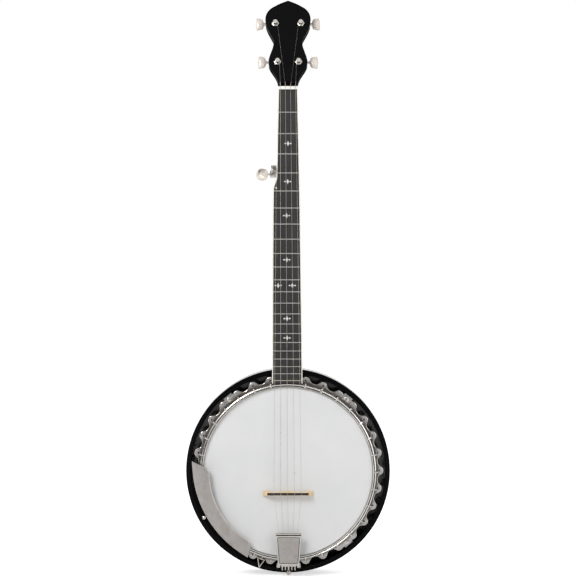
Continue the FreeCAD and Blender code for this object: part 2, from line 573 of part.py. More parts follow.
def worm_shape(pitch, pitch_radius, span, turns):
    """A right-hand worm about local X: a trapezoid thread along x = pitch * angle / turn, on a core."""
    root = pitch_radius - 0.45
    crest = pitch_radius + 0.42
    helix = Part.makeHelix(pitch, turns * pitch, root)
    profile = [Vector(root - 0.25, 0, -0.42), Vector(crest, 0, -0.22), Vector(crest, 0, 0.22), Vector(root - 0.25, 0, 0.42)]
    thread = Part.Wire(helix).makePipeShell([Part.makePolygon(profile + profile[:1])], True, True)
    thread.translate(Vector(0, 0, -pitch * turns / 2))
    core = Part.makeCylinder(root, span, Vector(0, 0, -span / 2))
    shape = core.fuse(thread)
    shape.rotate(Vector(0, 0, 0), Vector(1, 1, 1), 120)
    return shape


def wheel_shape(teeth, pitch_radius, thickness, first_gap):
    """A spur wheel about local Z with straight-sided teeth; first_gap is the angle of one gap's middle."""
    root, crest = pitch_radius - 0.6, pitch_radius + 0.45
    corners = []
    for i in range(teeth):
        middle = math.radians(first_gap + (i + 0.5) * 360.0 / teeth)
        for radius, half_thick, side in ((root, 0.42, -1), (crest, 0.2, -1), (crest, 0.2, 1), (root, 0.42, 1)):
            x = radius
            y = side * half_thick
            corners.append((x * math.cos(middle) - y * math.sin(middle), x * math.sin(middle) + y * math.cos(middle),
                            -thickness / 2))
    return prism(corners, (0, 0, thickness))


teeth = int(size("wheel_teeth"))
offset = size("worm_offset")
wheel_radius = offset - size("worm_pitch_radius")
pitch = 2 * math.pi * wheel_radius / teeth
head_depth = -size("overlay") - size("head_wood")
worm_z = head_depth - size("worm_depth")
shaft = size("shaft_radius")
gap = size("shaft_gap")

plates = []
bushings = []
plate_screws = []
for name, x, y in POSTS:
    side = 1 if x > 0 else -1
    base = box(-9.2, 9.2, -8.5, 13.0, head_depth - 1.3, head_depth)
    for ear in (-1, 1):
        ear_block = box(5.9, 8.6, offset - 3.0, offset + 3.0, worm_z - 2.8, head_depth - 1.2)
        if ear < 0:
            ear_block = ear_block.mirror(Vector(0, 0, 0), Vector(1, 0, 0))
        base = base.fuse(ear_block)
    base = base.cut(rod((-20, offset, worm_z), (20, offset, worm_z), shaft + gap))
    base = base.cut(Part.makeCylinder(bushing_bore, 10, Vector(0, 0, head_depth - 5)))
    for sx, sy in ((-6.6, -5.6), (6.6, -5.6)):
        base = base.cut(Part.makeCylinder(1.15, 10, Vector(sx, sy, head_depth - 5)))
        head_screw = Part.makeCylinder(2.1, 1.1, Vector(sx, sy, head_depth - 2.4))
        head_screw = head_screw.cut(box(sx - 2.5, sx + 2.5, sy - 0.25, sy + 0.25, head_depth - 3.0, head_depth - 1.9))
        screw_body = head_screw.fuse(Part.makeCylinder(1.1, 1.3, Vector(sx, sy, head_depth - 1.3)))
        screw_body.translate(Vector(x, y, 0))
        plate_screws.append(screw_body)
    base.translate(Vector(x, y, 0))
    plates.append(base)
    flare = hexagon((0, 0, 0), (0, 0, 1), 10.6, 2.4)
    flare = flare.fuse(Part.makeCylinder(4.4, 3.4, Vector(0, 0, 0)))
    sleeve = flare.fuse(Part.makeCylinder(bushing_sleeve, 11.0, Vector(0, 0, -11.0)))
    sleeve = sleeve.cut(Part.makeCylinder(bushing_bore, 40, Vector(0, 0, -20)))
    sleeve.translate(Vector(x, y, 0))
    bushings.append(sleeve)
add_shape("tuner_plates", Part.makeCompound(plates), head_spot)
add_shape("tuner_bushings", Part.makeCompound(bushings), head_spot)
add_shape("tuner_plate_screws", Part.makeCompound(plate_screws), head_spot)

for name, x, y in POSTS:
    side = 1 if x > 0 else -1
    spot = head_spot.multiply(Placement(Vector(x, y, 0), Rotation()))
    worm_spot = head_spot.multiply(Placement(Vector(x, y + offset, worm_z), Rotation()))
    post = Part.makeCylinder(size("post_radius"), size("post_height") - head_depth + 1.5,
                             Vector(0, 0, head_depth - 1.5))
    post = post.fuse(Part.makeCylinder(size("post_radius") + 0.5, 1.6, Vector(0, 0, size("post_height") - 1.6)))
    post = post.fuse(Part.makeCylinder(2.2, size("worm_depth") + 2.2, Vector(0, 0, worm_z - 2.2)))
    wheel = wheel_shape(teeth, wheel_radius, 2.4, 90)
    wheel.translate(Vector(0, 0, worm_z))
    post = post.fuse(wheel)
    post = post.cut(rod((-6, 0, 6.2), (6, 0, 6.2), 0.8))
    add_shape("post_" + name, post, spot)
    worm = worm_shape(pitch, size("worm_pitch_radius"), size("worm_span"), 3)
    reach = rod((-side * 8.6, 0, 0), (side * (size("button_start") + 9.0), 0, 0), shaft)
    collar = rod((side * 8.7, 0, 0), (side * 10.2, 0, 0), 2.6)
    neckdown = rod((side * (size("button_start") - 2.4), 0, 0), (side * size("button_start"), 0, 0), 2.4)
    add_shape("worm_" + name, worm.fuse(reach).fuse(collar).fuse(neckdown), worm_spot)

for name, x, y in POSTS:
    side = "-" if x < 0 else ""
    body = new_body("button_" + name)
    sketch = new_sketch(body, "XY_Plane", "button_outline_" + name)
    sign = (lambda text: "-(%s)" % text) if x < 0 else (lambda text: text)
    near, far = "button_start", "button_start + button_length"
    add_polygon(sketch, [
        (sign(near), "-button_narrow / 2"), (sign(near + " + 4"), "-button_narrow / 2 - 0.8"),
        (sign(far + " - 4"), "-button_wide / 2"), (sign(far), "-button_wide / 2 + 2"),
        (sign(far), "button_wide / 2 - 2"), (sign(far + " - 4"), "button_wide / 2"),
        (sign(near + " + 4"), "button_narrow / 2 + 0.8"), (sign(near), "button_narrow / 2")])
    pad(body, sketch, "button_thick", symmetric=True)
    bore = new_sketch(body, "YZ_Plane", "button_bore_" + name)
    add_circle(bore, "0", "0", "shaft_radius + 0.02")
    pocket(body, bore, "button_start + 9.2", reverse=x > 0)
    half_thick = size("button_thick") / 2
    fillet(body, "1.6", lambda e: all(abs(abs(v.Z) - half_thick) < 0.01 for v in e.Vertexes))
    body.Placement = head_spot.multiply(Placement(Vector(x, y + offset, worm_z), Rotation()))
doc.recompute()

# ---- fifth string's tuner, on the side of the neck ----------------------------------------------

fifth_spot = Placement(Vector(size("fifth_x"), -size("fifth_gear_depth"), size("fifth_post_z")),
                       Rotation(Vector(1, 0, 0), 90))
fifth_offset = size("fifth_worm_offset")
fifth_wheel = fifth_offset - size("fifth_worm_radius")
fifth_pitch = 2 * math.pi * fifth_wheel / teeth
case = box(-7.2, 3.55, -14.0, 6.4, -6.4, 7.2)
case = case.cut(Part.makeCylinder(5.5, 10.2, Vector(0, 0, -4.9)))
case = case.cut(rod((-6.1, -fifth_offset, 0), (2.8, -fifth_offset, 0), 4.75))
case = case.cut(Part.makeCylinder(size("fifth_post_radius") + 0.06, 20, Vector(0, 0, 0)))
case = case.cut(Part.makeCylinder(1.56, 20, Vector(0, 0, -15)))
case = case.cut(rod((-20, -fifth_offset, 0), (20, -fifth_offset, 0), shaft + gap))
case = case.fuse(rod((3.5, -fifth_offset, 0), (13.0, -fifth_offset, 0), 2.0))
add_shape("fifth_tuner_case", case, fifth_spot)

post_top = size("fifth_post_front") - size("fifth_gear_depth")
fifth_post = Part.makeCylinder(size("fifth_post_radius"), post_top - 2.0, Vector(0, 0, 2.0))
fifth_post = fifth_post.fuse(Part.makeCylinder(size("fifth_post_radius") + 0.5, 1.5, Vector(0, 0, post_top - 1.5)))
fifth_post = fifth_post.fuse(Part.makeCylinder(1.5, 8.4, Vector(0, 0, -6.2)))
fifth_post = fifth_post.fuse(wheel_shape(teeth, fifth_wheel, 2.6, 270))
fifth_post = fifth_post.cut(rod((-6, 0, post_top - 4), (6, 0, post_top - 4), 0.8))
add_shape("post_fifth", fifth_post, fifth_spot)

worm_centre = fifth_spot.multiply(Placement(Vector(0, -fifth_offset, 0), Rotation()))
fifth_worm = worm_shape(fifth_pitch, size("fifth_worm_radius"), 5.4, 2)
button_x = size("fifth_button_x") - size("fifth_x")
fifth_worm = fifth_worm.fuse(rod((3.5, 0, 0), (button_x, 0, 0), shaft))
add_shape("worm_fifth", fifth_worm, worm_centre)

button = new_body("button_fifth")
sketch = new_sketch(button, "XY_Plane", "fifth_button_outline")
add_polygon(sketch, [("-10.8", "-4.2"), ("-14", "-8.6"), ("-20", "-fifth_button_radius"),
                     ("-26", "-8.8"), ("-30", "-4.4"), ("-30", "4.4"), ("-26", "8.8"),
                     ("-20", "fifth_button_radius"), ("-14", "8.6"), ("-10.8", "4.2")])
pad(button, sketch, "button_thick", symmetric=True)
bore = new_sketch(button, "YZ_Plane", "fifth_button_bore")
add_circle(bore, "0", "0", "shaft_radius + 0.02")
pocket(button, bore, "fifth_x - fifth_button_x + 0.2")
half_thick = size("button_thick") / 2
fillet(button, "1.6", lambda e: all(abs(abs(v.Z) - half_thick) < 0.01 for v in e.Vertexes))
button.Placement = worm_centre
doc.recompute()

# ---- bridge -------------------------------------------------------------------------------------

head_front = size("head_back") + size("head_thickness")
foot_y = -head_front
top_y = foot_y - size("bridge_height")
half_foot = size("bridge_foot_width") / 2
half_top = size("bridge_top_width") / 2
bz = size("bridge_z")
front = [(-half_foot, foot_y), (-half_foot, foot_y - 2.2), (-half_top, top_y), (half_top, top_y),
         (half_foot, foot_y - 2.2), (half_foot, foot_y)]
slab = prism([(x, y, bz - 6) for x, y in front], (0, 0, 12))
wedge = prism([(-60, foot_y, bz - size("bridge_foot") / 2), (-60, foot_y, bz + size("bridge_foot") / 2),
               (-60, top_y - 2, bz + size("bridge_crest") / 2), (-60, top_y - 2, bz - size("bridge_crest") / 2)],
              (120, 0, 0))
slab = slab.common(wedge)
for centre in (-19.4, 19.4):
    arch = rod((centre, foot_y, bz - 9), (centre, foot_y, bz + 9), 8.2)
    arch = arch.fuse(box(centre - 13.2, centre + 13.2, foot_y - 4.6, foot_y + 1, bz - 9, bz + 9))
    slab = slab.cut(arch)
cap_line = top_y + size("bridge_cap")
cap = slab.common(box(-80, 80, top_y - 1, cap_line, bz - 20, bz + 20))
base = slab.common(box(-80, 80, cap_line, foot_y + 1, bz - 20, bz + 20))
bridge_strings = [(i - 2) * size("string_spacing") - 0.5 for i in range(5)]
for x in bridge_strings:
    cap = cap.cut(box(x - 0.42, x + 0.42, top_y - 1, top_y + 0.75, bz - 9, bz + 9))
add_shape("bridge_base", base)
add_shape("bridge_cap", cap)

# ---- tailpiece ----------------------------------------------------------------------------------

tx = size("tail_x")
base_y = -size("tail_base_depth")
half_low = size("tail_low_width") / 2
knob_depth = size("resonator_depth") + size("knob_above_wall")
leg = box(-6.4, 6.4, base_y, -45.8, -150.4, -148.4)
leg = leg.cut(rod((-tx, -size("rod_front_depth"), -140), (-tx, -size("rod_front_depth"), -160), size("bolt_radius") + 0.1))
leg = leg.cut(rod((0, -knob_depth, -140), (0, -knob_depth, -160), size("knob_rod") + 0.05))
plate = prism([(-17.0, base_y, -108), (17.0, base_y, -108), (half_low - 3.0, base_y, -151), (12.0, base_y, -155.2),
               (-12.0, base_y, -155.2), (-half_low + 3.0, base_y, -151)], (0, 1.6, 0))
roller = rod((-17.0, base_y + 0.2, -108), (17.0, base_y + 0.2, -108), 1.5)
tailpiece = leg.fuse(plate).fuse(roller)
tail_strings = [(i - 2) * size("tail_spacing") for i in range(5)]
for x in tail_strings:
    finger = box(x - 0.9, x + 0.9, base_y, base_y + 1.6, -159.4, -155.0)
    finger = finger.fuse(box(x - 0.9, x + 0.9, base_y - 2.2, base_y + 1.6, -160.6, -159.2))
    tailpiece = tailpiece.fuse(finger)
hz, hy = size("hinge_z"), -size("hinge_depth")
for side in (-1, 1):
    ear = box(17.7, 19.2, hy - 2.8, base_y + 1.6, -156.4, -149.0)
    ear = ear.fuse(box(11.0, 19.2, base_y, base_y + 1.6, -152.2, -149.0))
    if side < 0:
        ear = ear.mirror(Vector(0, 0, 0), Vector(1, 0, 0))
    tailpiece = tailpiece.fuse(ear)
tailpiece = tailpiece.cut(rod((-25, hy, hz), (-14, hy, hz), size("hinge_radius") + 0.04))
tailpiece = tailpiece.cut(rod((14, hy, hz), (25, hy, hz), size("hinge_radius") + 0.04))
add_shape("tailpiece_base", tailpiece, Placement(Vector(tx, 0, 0), Rotation()))
pins = [rod((side * 13.9, hy, hz), (side * 20.2, hy, hz), size("hinge_radius")) for side in (-1, 1)]
add_shape("tailpiece_pins", Part.makeCompound(pins), Placement(Vector(tx, 0, 0), Rotation()))

# The cover is a tapered tray: a plate with side walls, a rolled front edge and ears on the pins.
cover_y = -size("tail_front")
wall = size("tail_wall")
top_half, low_half = size("tail_top_width") / 2, size("tail_low_width") / 2
top_z, low_z = size("tail_top_z"), size("tail_low_z")
outer = prism([(-top_half, cover_y, top_z), (top_half, cover_y, top_z), (low_half, cover_y, low_z),
               (-low_half, cover_y, low_z)], (0, 5.6, 0))
inner = prism([(-top_half + wall, cover_y + wall, top_z + 5), (top_half - wall, cover_y + wall, top_z + 5),
               (low_half - wall, cover_y + wall, low_z - 5), (-low_half + wall, cover_y + wall, low_z - 5)], (0, 9, 0))
recess = prism([(-top_half + 2.6, cover_y - 1, top_z - 5.2), (top_half - 2.6, cover_y - 1, top_z - 5.2),
                (low_half - 2.2, cover_y - 1, low_z + 3.0), (-low_half + 2.2, cover_y - 1, low_z + 3.0)], (0, 1.7, 0))
tray = outer.cut(inner).cut(recess)
tray = tray.fuse(rod((-top_half, cover_y + 2.0, top_z - 0.4), (top_half, cover_y + 2.0, top_z - 0.4), 1.9))
for side in (-1, 1):
    arm = box(14.2, 17.2, cover_y, hy + 1.9, hz - 1.9, low_z + 2.0)
    if side < 0:
        arm = arm.mirror(Vector(0, 0, 0), Vector(1, 0, 0))
    tray = tray.fuse(arm)
for side in (-1, 1):
    tray = tray.cut(rod((side * 13, hy, hz), (side * 20, hy, hz), size("hinge_radius") + 0.05))
add_shape("tailpiece_cover", tray, Placement(Vector(tx, 0, 0), Rotation()))
panel = prism([(-top_half + 2.7, cover_y + 0.7, top_z - 5.3), (top_half - 2.7, cover_y + 0.7, top_z - 5.3),
               (low_half - 2.3, cover_y + 0.7, low_z + 3.1), (-low_half + 2.3, cover_y + 0.7, low_z + 3.1)], (0, -0.5, 0))
add_shape("tailpiece_panel", panel, Placement(Vector(tx, 0, 0), Rotation()))

knob_y = -knob_depth
knob = rod((0, knob_y, -146.6), (0, knob_y, size("knob_z")), size("knob_rod"))
knob = knob.fuse(Part.makeSphere(size("knob_radius"), Vector(0, knob_y, size("knob_z"))))
knob = knob.fuse(rod((0, knob_y, -151.6), (0, knob_y, -153.2), 2.6))
add_shape("tailpiece_knob", knob, Placement(Vector(tx, 0, 0), Rotation()))

# ---- strings ------------------------------------------------------------------------------------

gauges = [0.25, 0.33, 0.28, 0.26, 0.25]
bridge_y = top_y + 0.3
nut_y = -size("nut_front") + 0.4
tail_y = -104.0
runs = []
for i in range(1, 5):
    radius = gauges[i]
    start = (tx + tail_strings[i], tail_y, -158.4)
    rest = (tx + tail_strings[i], tail_y - 0.5, -150)
    over = (bridge_strings[i], bridge_y, bz)
    at_nut = (string_x[i - 1], nut_y, nut_z + 0.6)
    name, px, py = {1: POSTS[2], 2: POSTS[0], 3: POSTS[1], 4: POSTS[3]}[i]
    inward = 1 if px < 0 else -1
    coil_height = 6.4
    touch = head_spot.multVec(Vector(px + inward * (size("post_radius") + radius + 0.1), py, coil_height - 0.6 * radius))
    leave = (string_x[i - 1], nut_y, nut_z + size("nut_length") + 0.3)
    runs.append(wire_run([start, rest, over, at_nut, leave, tuple(touch)], radius))
    coil_radius = size("post_radius") + radius + 0.1
    for turn in range(3):
        loop = Part.makeTorus(coil_radius, radius, Vector(px, py, coil_height - turn * 1.9 * radius))
        loop.Placement = head_spot.multiply(loop.Placement)
        runs[-1] = runs[-1].fuse(loop)
add_shape("long_strings", Part.makeCompound(runs))
pip_top = (size("pip_x"), -size("nut_front") + 0.2 - 0.28, pip_z)
fifth_radius = gauges[0]
coil_radius = size("fifth_post_radius") + fifth_radius + 0.1
coil_y = -size("fifth_post_front") + 5.6
fifth_run = wire_run([(tx + tail_strings[0], tail_y, -158.4), (tx + tail_strings[0], tail_y - 0.5, -150),
                      (bridge_strings[0], bridge_y, bz), pip_top,
                      (size("fifth_x") + coil_radius, coil_y, size("fifth_post_z"))], fifth_radius)
for turn in range(3):
    loop = Part.makeTorus(coil_radius, fifth_radius,
                          Vector(size("fifth_x"), coil_y + turn * 1.9 * fifth_radius, size("fifth_post_z")),
                          Vector(0, 1, 0))
    fifth_run = fifth_run.fuse(loop)
add_shape("fifth_string", fifth_run)

# ---- armrest ------------------------------------------------------------------------------------

start, end = size("rest_start"), size("rest_end")
waist = size("rest_waist")
EDGE_SHARES = [(1.0, size("rest_outer")), (0.934, waist + 5.0), (0.878, waist + 4.0), (0.766, waist + 2.6),
               (0.626, waist + 0.9), (0.485, waist + 0.1), (0.345, waist), (0.205, waist + 0.2),
               (0.093, waist + 1.0), (0.0, size("rest_outer_low"))]
REST_EDGE = [(start + (end - start) * share, radius) for share, radius in EDGE_SHARES]


def rest_slab(inner_edge, back, depth, slant):
    """A sector slab between an inner edge, a radius for each angle, and the outer edge, with slanting ends."""
    count = 24
    first = start + size("rest_slant_low") * slant
    last = end - size("rest_slant_high") * slant
    shares = [i / count for i in range(count + 1)]
    outer_line = [Vector(*around(a, blended(REST_EDGE, a), back))
                  for a in [start + (end - start) * share for share in shares]]
    inner_line = [Vector(*around(a, inner_edge(a), back))
                  for a in [first + (last - first) * share for share in shares]]
    curves = []
    for line in (outer_line, inner_line):
        curve = Part.BSplineCurve()
        curve.interpolate(line)
        curves.append(curve.toShape())
    curves.append(Part.makeLine(outer_line[0], inner_line[0]))
    curves.append(Part.makeLine(outer_line[-1], inner_line[-1]))
    return Part.Face(Part.Wire(Part.__sortEdges__(curves))).extrude(Vector(0, -depth, 0))


plate = rest_slab(lambda a: size("rest_inner"), size("rest_back"), size("rest_thickness"), 1.0)
corner_edges = [e for e in plate.Edges
                if abs(e.Length - size("rest_thickness")) < 0.01
                and abs(math.hypot(e.Vertexes[0].X, e.Vertexes[0].Z) - size("rest_inner")) < 0.5]
plate = plate.makeFillet(size("rest_corner"), corner_edges)
lip_width = 1.5
lip_slant = lip_width / (waist - size("rest_inner"))
lip = rest_slab(lambda a: blended(REST_EDGE, a) - lip_width, size("rest_back") - size("rest_lip"), size("rest_lip"),
                lip_slant)
add_shape("armrest", plate.fuse(lip))

clamp_angle = 21.5 * PITCH
strap_top = -size("rest_back")
strap_out = waist - lip_width - 0.15
strap_in = strap_out - 1.8
bolt_circle = waist + 4.2
clear_of_flange = size("flange_valley") + 1.2
clamp = box(-5.0, 5.0, strap_top, -90.5, strap_in, strap_out)
clamp = clamp.fuse(box(-5.0, 5.0, -92.0, -84.0, 146.8, clear_of_flange + 1.8)
                   .cut(box(-6, 6, -90.5, -85.5, 140, clear_of_flange)))
clamp = clamp.fuse(box(-5.0, 5.0, -92.0, -60.5, clear_of_flange, clear_of_flange + 1.8))
clamp = clamp.fuse(box(-5.0, 5.0, -63.0, -60.5, 142.0, clear_of_flange + 1.8))
clamp = clamp.fuse(rod((0, -108.0, bolt_circle), (0, -88.0, bolt_circle), 2.0))
clamp = clamp.fuse(hexagon((0, -100.0, bolt_circle), (0, -1, 0), 5.2, 8.6))
clamp = clamp.fuse(box(-3.0, 3.0, -94.0, -90.0, clear_of_flange, bolt_circle + 2.6))
clamp = clamp.cut(turned(plate.fuse(lip), -clamp_angle))
add_shape("armrest_clamp", turned(clamp, clamp_angle))

# ---- strap ring ---------------------------------------------------------------------------------

wire = size("strap_wire")
sd = -(size("resonator_depth") + size("strap_above_wall"))
corner_a, corner_b, corner_c = (-50.4, sd, -143.2), (-39.2, sd, -147.9), (-48.0, sd, -160.2)
ring = wire_run([corner_a, corner_b, corner_c, corner_a, corner_b], wire)
add_shape("strap_ring", ring)
mid = [(a + b) / 2 for a, b in zip(corner_a, corner_b)]
along = Vector(*corner_b) - Vector(*corner_a)
along.normalize()
outward = Vector(mid[0], 0, mid[2])
outward.normalize()
tube_start = Vector(*mid) - along * 3.2
clip = Part.makeCylinder(wire + 0.9, 6.4, tube_start, along)
tab_angle = math.degrees(math.atan2(mid[0], mid[2])) % 360
tab = box(-3.0, 3.0, sd + 0.9, -flange_front, 149.6, 152.0)
clip = clip.fuse(turned(tab, tab_angle))
clip = clip.cut(Part.makeCylinder(wire + 0.06, 20, Vector(*mid) - along * 10, along))
add_shape("strap_ring_clip", clip)

# ---- checks and export --------------------------------------------------------------------------

doc.recompute()
faults = []
for item in doc.Objects:
    if "Invalid" in item.State or "Error" in item.State:
        faults.append("%s: %s" % (item.Label, item.State))
for node in nodes:
    if node.Shape.isNull() or not node.Shape.isValid() or not node.Shape.Solids:
        faults.append("%s: shape null, invalid or empty" % node.Label)
if faults:
    raise RuntimeError("; ".join(faults))
os.makedirs("parts", exist_ok=True)
for node in nodes:
    node.Shape.exportStep("parts/%s.step" % node.Label)
print("%d nodes" % len(nodes))
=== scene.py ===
"""Looks of a five-string resonator banjo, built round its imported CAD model. Metres, +Z up, face to -Y."""
import json
import math

import bmesh
import bpy
import numpy as np
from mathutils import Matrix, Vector


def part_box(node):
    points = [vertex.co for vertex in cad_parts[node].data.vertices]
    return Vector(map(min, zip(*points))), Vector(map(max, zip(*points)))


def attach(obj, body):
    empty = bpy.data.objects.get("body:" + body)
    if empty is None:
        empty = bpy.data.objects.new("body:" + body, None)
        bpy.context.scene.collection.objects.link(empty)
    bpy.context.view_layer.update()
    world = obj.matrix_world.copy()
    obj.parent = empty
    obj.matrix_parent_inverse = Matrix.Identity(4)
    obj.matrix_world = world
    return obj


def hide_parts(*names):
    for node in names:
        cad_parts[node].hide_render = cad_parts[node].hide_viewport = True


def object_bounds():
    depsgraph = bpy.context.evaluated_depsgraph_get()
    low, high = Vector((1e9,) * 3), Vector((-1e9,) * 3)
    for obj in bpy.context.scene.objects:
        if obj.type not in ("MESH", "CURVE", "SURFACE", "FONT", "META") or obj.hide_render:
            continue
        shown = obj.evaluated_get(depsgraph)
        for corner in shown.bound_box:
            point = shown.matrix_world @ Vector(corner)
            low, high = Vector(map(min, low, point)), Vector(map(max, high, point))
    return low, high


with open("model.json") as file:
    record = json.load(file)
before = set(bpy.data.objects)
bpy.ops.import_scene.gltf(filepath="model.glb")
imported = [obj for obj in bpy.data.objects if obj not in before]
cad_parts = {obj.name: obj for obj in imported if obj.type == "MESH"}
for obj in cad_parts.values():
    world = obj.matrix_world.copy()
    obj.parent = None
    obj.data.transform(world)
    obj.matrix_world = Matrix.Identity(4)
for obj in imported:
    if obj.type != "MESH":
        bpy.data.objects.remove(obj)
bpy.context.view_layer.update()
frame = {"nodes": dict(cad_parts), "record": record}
nodes = frame["nodes"]
MM = 0.001


# ---- camera and studio --------------------------------------------------------------------------

EYE_DISTANCE = 3.0
VIEW_WIDTH = 0.9494
SENSOR_WIDTH = 36.0
low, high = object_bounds()
board_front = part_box("fingerboard")[0][1]
EYE_DROP = 0.0031
eye_height = (low[2] + high[2]) / 2 - EYE_DROP

cam_data = bpy.data.cameras.new("camera")
cam_data.sensor_width = SENSOR_WIDTH
cam_data.lens = SENSOR_WIDTH * EYE_DISTANCE / VIEW_WIDTH
cam_data.clip_end = 50
camera = bpy.data.objects.new("camera", cam_data)
camera.location = (0, board_front - EYE_DISTANCE, eye_height)
camera.rotation_euler = (math.radians(90), 0, 0)
bpy.context.scene.collection.objects.link(camera)
bpy.context.scene.camera = camera
bpy.context.scene.view_settings.view_transform = "Standard"


def area_light(name, place, target, size, power, colour=(1, 1, 1)):
    """A square soft box at place, facing target."""
    data = bpy.data.lights.new(name, "AREA")
    data.size = size
    data.energy = power
    data.color = colour
    lamp = bpy.data.objects.new(name, data)
    lamp.location = place
    direction = Vector(target) - Vector(place)
    lamp.rotation_euler = direction.to_track_quat("-Z", "Y").to_euler()
    bpy.context.scene.collection.objects.link(lamp)
    return lamp


area_light("key", (-1.5, -2.3, 1.9), (0, 0, 0.2), 1.1, 46)
area_light("fill", (2.2, -2.2, 0.6), (0, 0, 0.3), 1.6, 14)
area_light("rim_back", (0.8, 2.2, 1.6), (0, 0, 0.3), 1.4, 24)


# ---- shader helpers -----------------------------------------------------------------------------

def group(name, inputs, outputs):
    """A shader node group with named sockets: inputs are (name, kind, default), outputs (name, kind)."""
    tree = bpy.data.node_groups.new(name, "ShaderNodeTree")
    for label, kind, default in inputs:
        socket = tree.interface.new_socket(label, in_out="INPUT", socket_type=kind)
        if default is not None:
            socket.default_value = default
    for label, kind in outputs:
        tree.interface.new_socket(label, in_out="OUTPUT", socket_type=kind)
    return tree, tree.nodes.new("NodeGroupInput"), tree.nodes.new("NodeGroupOutput")


def feed(tree, value, socket):
    """Gives a socket a link when value is a socket, or else value itself."""
    if isinstance(value, bpy.types.NodeSocket):
        tree.links.new(value, socket)
    else:
        socket.default_value = value


def add(tree, kind, links=(), **settings):
    """A node with its attributes set; links are (input name or index, socket or plain value)."""
    node = tree.nodes.new(kind)
    for key, value in settings.items():
        setattr(node, key, value)
    for where, what in links:
        feed(tree, what, node.inputs[where])
    return node


def maths(tree, operation, a, b=None, c=None):
    """The result of one maths node, with the values it leaves out at their defaults."""
    links = [(index, value) for index, value in enumerate((a, b, c)) if value is not None]
    return add(tree, "ShaderNodeMath", links, operation=operation).outputs[0]


def mixed(tree, factor, first, second):
    """A colour between first, at factor 0, and second, at factor 1."""
    return add(tree, "ShaderNodeMix", [(0, factor), (6, first), (7, second)], data_type="RGBA").outputs[2]


def remap(tree, value, low_in, high_in, low_out, high_out):
    """A straight line from one range to another, held at its ends."""
    ends = [(0, value), (1, low_in), (2, high_in), (3, low_out), (4, high_out)]
    return add(tree, "ShaderNodeMapRange", ends).outputs[0]


def noise(tree, where, scale, detail, rough=0.5, distortion=0.0):
    """A noise texture over the points of where."""
    return add(tree, "ShaderNodeTexNoise", [("Vector", where), ("Scale", scale), ("Detail", detail),
                                            ("Roughness", rough), ("Distortion", distortion)])


def times(tree, first, second):
    """Two vectors multiplied part by part."""
    return add(tree, "ShaderNodeVectorMath", [(0, first), (1, second)], operation="MULTIPLY").outputs[0]


def axis_distance(tree, parts):
    """The distance sqrt(x^2 + z^2) from the pot's axis, in metres."""
    squares = [maths(tree, "POWER", parts.outputs[axis], 2.0) for axis in "XZ"]
    return maths(tree, "SQRT", maths(tree, "ADD", *squares))


VEC, FLT, COL = "NodeSocketVector", "NodeSocketFloat", "NodeSocketColor"


def build_smudge():
    """Roughness that wanders between two levels, as handled metal and lacquer do, plus fine haze."""
    tree, source, sink = group("smudge", [("Vector", VEC, None), ("Scale", FLT, 60.0), ("Low", FLT, 0.1),
                                          ("High", FLT, 0.25)], [("Roughness", FLT), ("Mask", FLT)])
    given = source.outputs
    broad = noise(tree, given["Vector"], given["Scale"], 4.0, 0.6).outputs["Fac"]
    fine = noise(tree, given["Vector"], maths(tree, "MULTIPLY", given["Scale"], 14.0), 2.0).outputs["Fac"]
    both = maths(tree, "ADD", maths(tree, "MULTIPLY", broad, 0.8), maths(tree, "MULTIPLY", fine, 0.2))
    tree.links.new(remap(tree, both, 0.35, 0.65, given["Low"], given["High"]), sink.inputs["Roughness"])
    tree.links.new(remap(tree, both, 0.35, 0.65, 0.0, 1.0), sink.inputs["Mask"])
    return tree


def build_grain():
    """Wood grain along one axis: stretched noise bands, fine pores and a slow shade change."""
    tree, source, sink = group("wood_grain", [("Vector", VEC, None), ("Stretch", VEC, (220.0, 220.0, 9.0)),
                                              ("Light", COL, (1, 1, 1, 1)), ("Dark", COL, (0, 0, 0, 1)),
                                              ("Pores", FLT, 0.5)], [("Color", COL), ("Height", FLT)])
    scaled = times(tree, source.outputs["Vector"], source.outputs["Stretch"])
    bands = noise(tree, scaled, 0.45, 6.0, 0.62, 0.5)
    pores = noise(tree, scaled, 5.0, 2.0)
    pore_mask = remap(tree, pores.outputs["Fac"], 0.56, 0.66, 0.0, 1.0)
    tone = remap(tree, bands.outputs["Fac"], 0.3, 0.7, 0.0, 1.0)
    colour = mixed(tree, tone, source.outputs["Dark"], source.outputs["Light"])
    deep = maths(tree, "MULTIPLY", pore_mask, source.outputs["Pores"])
    colour = mixed(tree, deep, colour, source.outputs["Dark"])
    tree.links.new(colour, sink.inputs["Color"])
    height = maths(tree, "SUBTRACT", maths(tree, "MULTIPLY", tone, 0.3), deep)
    tree.links.new(height, sink.inputs["Height"])
    return tree


SMUDGE, GRAIN = build_smudge(), build_grain()


def fresh(name):
    """A new node material with its tree, Principled shader and object coordinates."""
    material = bpy.data.materials.new(name)
    material.use_nodes = True
    tree = material.node_tree
    shader = tree.nodes["Principled BSDF"]
    coords = add(tree, "ShaderNodeTexCoord").outputs["Object"]
    return material, tree, shader, coords


def use_group(tree, which, links):
    """A shader group's node, its inputs given by name."""
    node = tree.nodes.new("ShaderNodeGroup")
    node.node_tree = which
    for label, value in links:
        feed(tree, value, node.inputs[label])
    return node


def bump(tree, shader, height, distance, strength=1.0):
    """Raises the shader's surface by distance metres where height is 1."""
    node = add(tree, "ShaderNodeBump", [("Height", height), ("Distance", distance), ("Strength", strength)])
    tree.links.new(node.outputs["Normal"], shader.inputs["Normal"])
    return node


def smudged(tree, shader, coords, scale, low, high):
    """Roughness that wanders between low and high, in the shader; the group's node, for its mask."""
    smudge = use_group(tree, SMUDGE, [("Vector", coords), ("Scale", scale), ("Low", low), ("High", high)])
    tree.links.new(smudge.outputs["Roughness"], shader.inputs["Roughness"])
    return smudge


